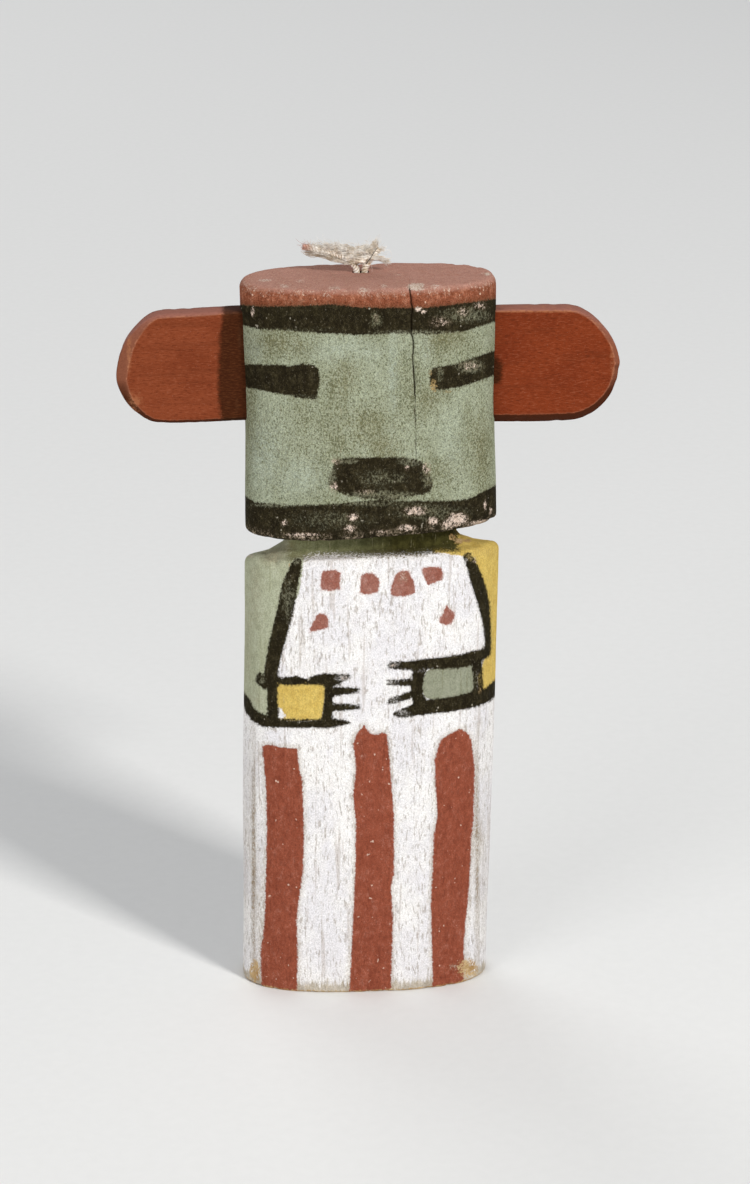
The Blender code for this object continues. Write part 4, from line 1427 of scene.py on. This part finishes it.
def make_fray(cotton):
    """The string's untwisted ends: wavy locks, stray hairs, a bent loose fibre and a dark hair."""
    chance = np.random.default_rng(5)
    taper = 1.0 - 0.7 * np.linspace(0.0, 1.0, FIBRE_STEPS) ** 3
    points, faces, grime_and_shade = [], [], []

    def add(paths, radius, grime_and_shade_level):
        count = len(paths)
        radii = radius * chance.uniform(0.7, 1.25, (count, 1)) * taper
        tube_points, tube_faces = tubes(paths, level_frames(paths), radii, FIBRE_SIDES)
        first = sum(len(each) for each in points)
        points.append(tube_points)
        faces.extend([first + corner for corner in face] for face in tube_faces)
        # Each fibre's grime and painted shade
        dirt_and_shade = np.maximum(grime_and_shade_level + chance.normal(0.0, 0.18, count), 0.0)
        grime_and_shade.append(np.repeat(dirt_and_shade, FIBRE_STEPS * FIBRE_SIDES))

    for guide, start_spread, end_spread, strands, fibres, radius, grime_and_shade_level in LOCKS:
        add(lock_of_fibres(chance, guide, (start_spread, end_spread), strands, fibres), radius, grime_and_shade_level)
    add(np.array([stray_hair(chance) for _ in range(STRAYS)]), 0.032, 0.1)
    add(smooth_line(LOOSE_FIBRE, FIBRE_STEPS - 1)[None], 0.075, 0.1)
    add(smooth_line(DARK_HAIR, FIBRE_STEPS - 1)[None], 0.085, 5.0)
    mesh = mesh_of("string_fray", np.concatenate(points) * MM + (HOLE_X, HOLE_Y, HEIGHT), faces)
    carry(mesh, {"grime_and_shade": np.concatenate(grime_and_shade)})
    return add_piece("string_fray", mesh, None, cotton)


def make_knot(cotton):
    """The coil of string that ties the two strands together above the hole."""
    turns = np.linspace(0.0, 2 * math.pi * KNOT_TURNS, KNOT_STEPS)
    coil = np.stack([np.cos(turns), np.sin(turns), np.sin(turns + KNOT_TILT)], -1) * KNOT_HALF_SIZE
    coil[:, 0] += KNOT_DRIFT * turns / math.pi
    coil += np.add(KNOT_MIDDLE, (HOLE_X, HOLE_Y, HEIGHT))
    twists = np.arange(KNOT_STEPS) / KNOT_PLY_STEPS
    mesh, points = twisted("string_knot", coil, twists, KNOT_PLY_OFFSET, KNOT_PLY_RADIUS, 6)
    carry(mesh, {"grime_and_shade": np.full(len(points), 0.4)})
    return add_piece("string_knot", mesh, None, cotton)


def make_string():
    """The twisted string, its knot and its frayed ends."""
    cotton = cotton_string()
    path = smooth_line(string_route(), STRING_STEPS)
    along = distance_along(path)
    ply_offset, ply_radius = STRING_DIAMETER * 0.265, STRING_DIAMETER * 0.225
    mesh, points = twisted("twisted_string", path, along / PLY_PITCH, ply_offset, ply_radius, 7)
    away = np.linalg.norm(points.reshape(STRING_PLIES, len(path), -1, 3) - path[:, None], axis=-1)
    # The grooves between the plies are painted darker: grime and painted shade
    carry(mesh, {"grime_and_shade": np.interp(away.ravel() / STRING_DIAMETER, *FOLD_GRIME_AND_SHADE)})
    string = add_piece("twisted_string", mesh, "hanging_string", cotton)
    knot = make_knot(cotton)
    fray = make_fray(cotton)


def cotton_string():
    """Twisted cream cotton, red-stained at its left end, its folds dark with grime and painted shade."""
    f = Finish("cotton_string")
    noises = f.noises(COTTON_NOISES, 0)
    fibre, cloud = noises["fibre"], noises["cloud"]
    colour = f.mix(cloud, (0.90, 0.85, 0.78), (0.71, 0.61, 0.49))
    # Grime and painted shade darken the folds and the grooves between the plies
    grime_and_shade_level = f.ramp(f.math("MULTIPLY_ADD", cloud, 0.3, f.mask("grime_and_shade")), 0.25, 1.2)
    colour = f.mix(grime_and_shade_level, colour, (0.40, 0.29, 0.165))
    colour = f.shade(colour, fibre, 0.86, 1.14)
    source = f.tree.nodes.new("ShaderNodeTexCoord")
    parts = f.tree.nodes.new("ShaderNodeSeparateXYZ")
    f.tree.links.new(source.outputs["Object"], parts.inputs[0])
    stain = f.ramp(parts.outputs["X"], HOLE_X - 0.0136, HOLE_X - 0.0104, 1.0, 0.0)
    stain = f.math("MULTIPLY", stain, f.ramp(parts.outputs["Z"], HEIGHT + 0.0042, HEIGHT + 0.0056, 0.15, 0.9))
    colour = f.mix(stain, colour, (0.44, 0.19, 0.14))
    colour = f.mix(f.ramp(f.mask("grime_and_shade"), 3.0, 4.0), colour, (0.035, 0.025, 0.015))
    f.finish(colour, f.ramp(fibre, 0.0, 1.0, 0.85, 0.98), f.math("MULTIPLY", fibre, 0.02), 0.8)
    f.shader.inputs["Sheen Weight"].default_value = 0.2
    f.shader.inputs["Sheen Roughness"].default_value = 0.5
    return f.material


make_camera()
make_string()
make_studio()
make_figure()
for ear in EARS:
    make_ear(**ear)
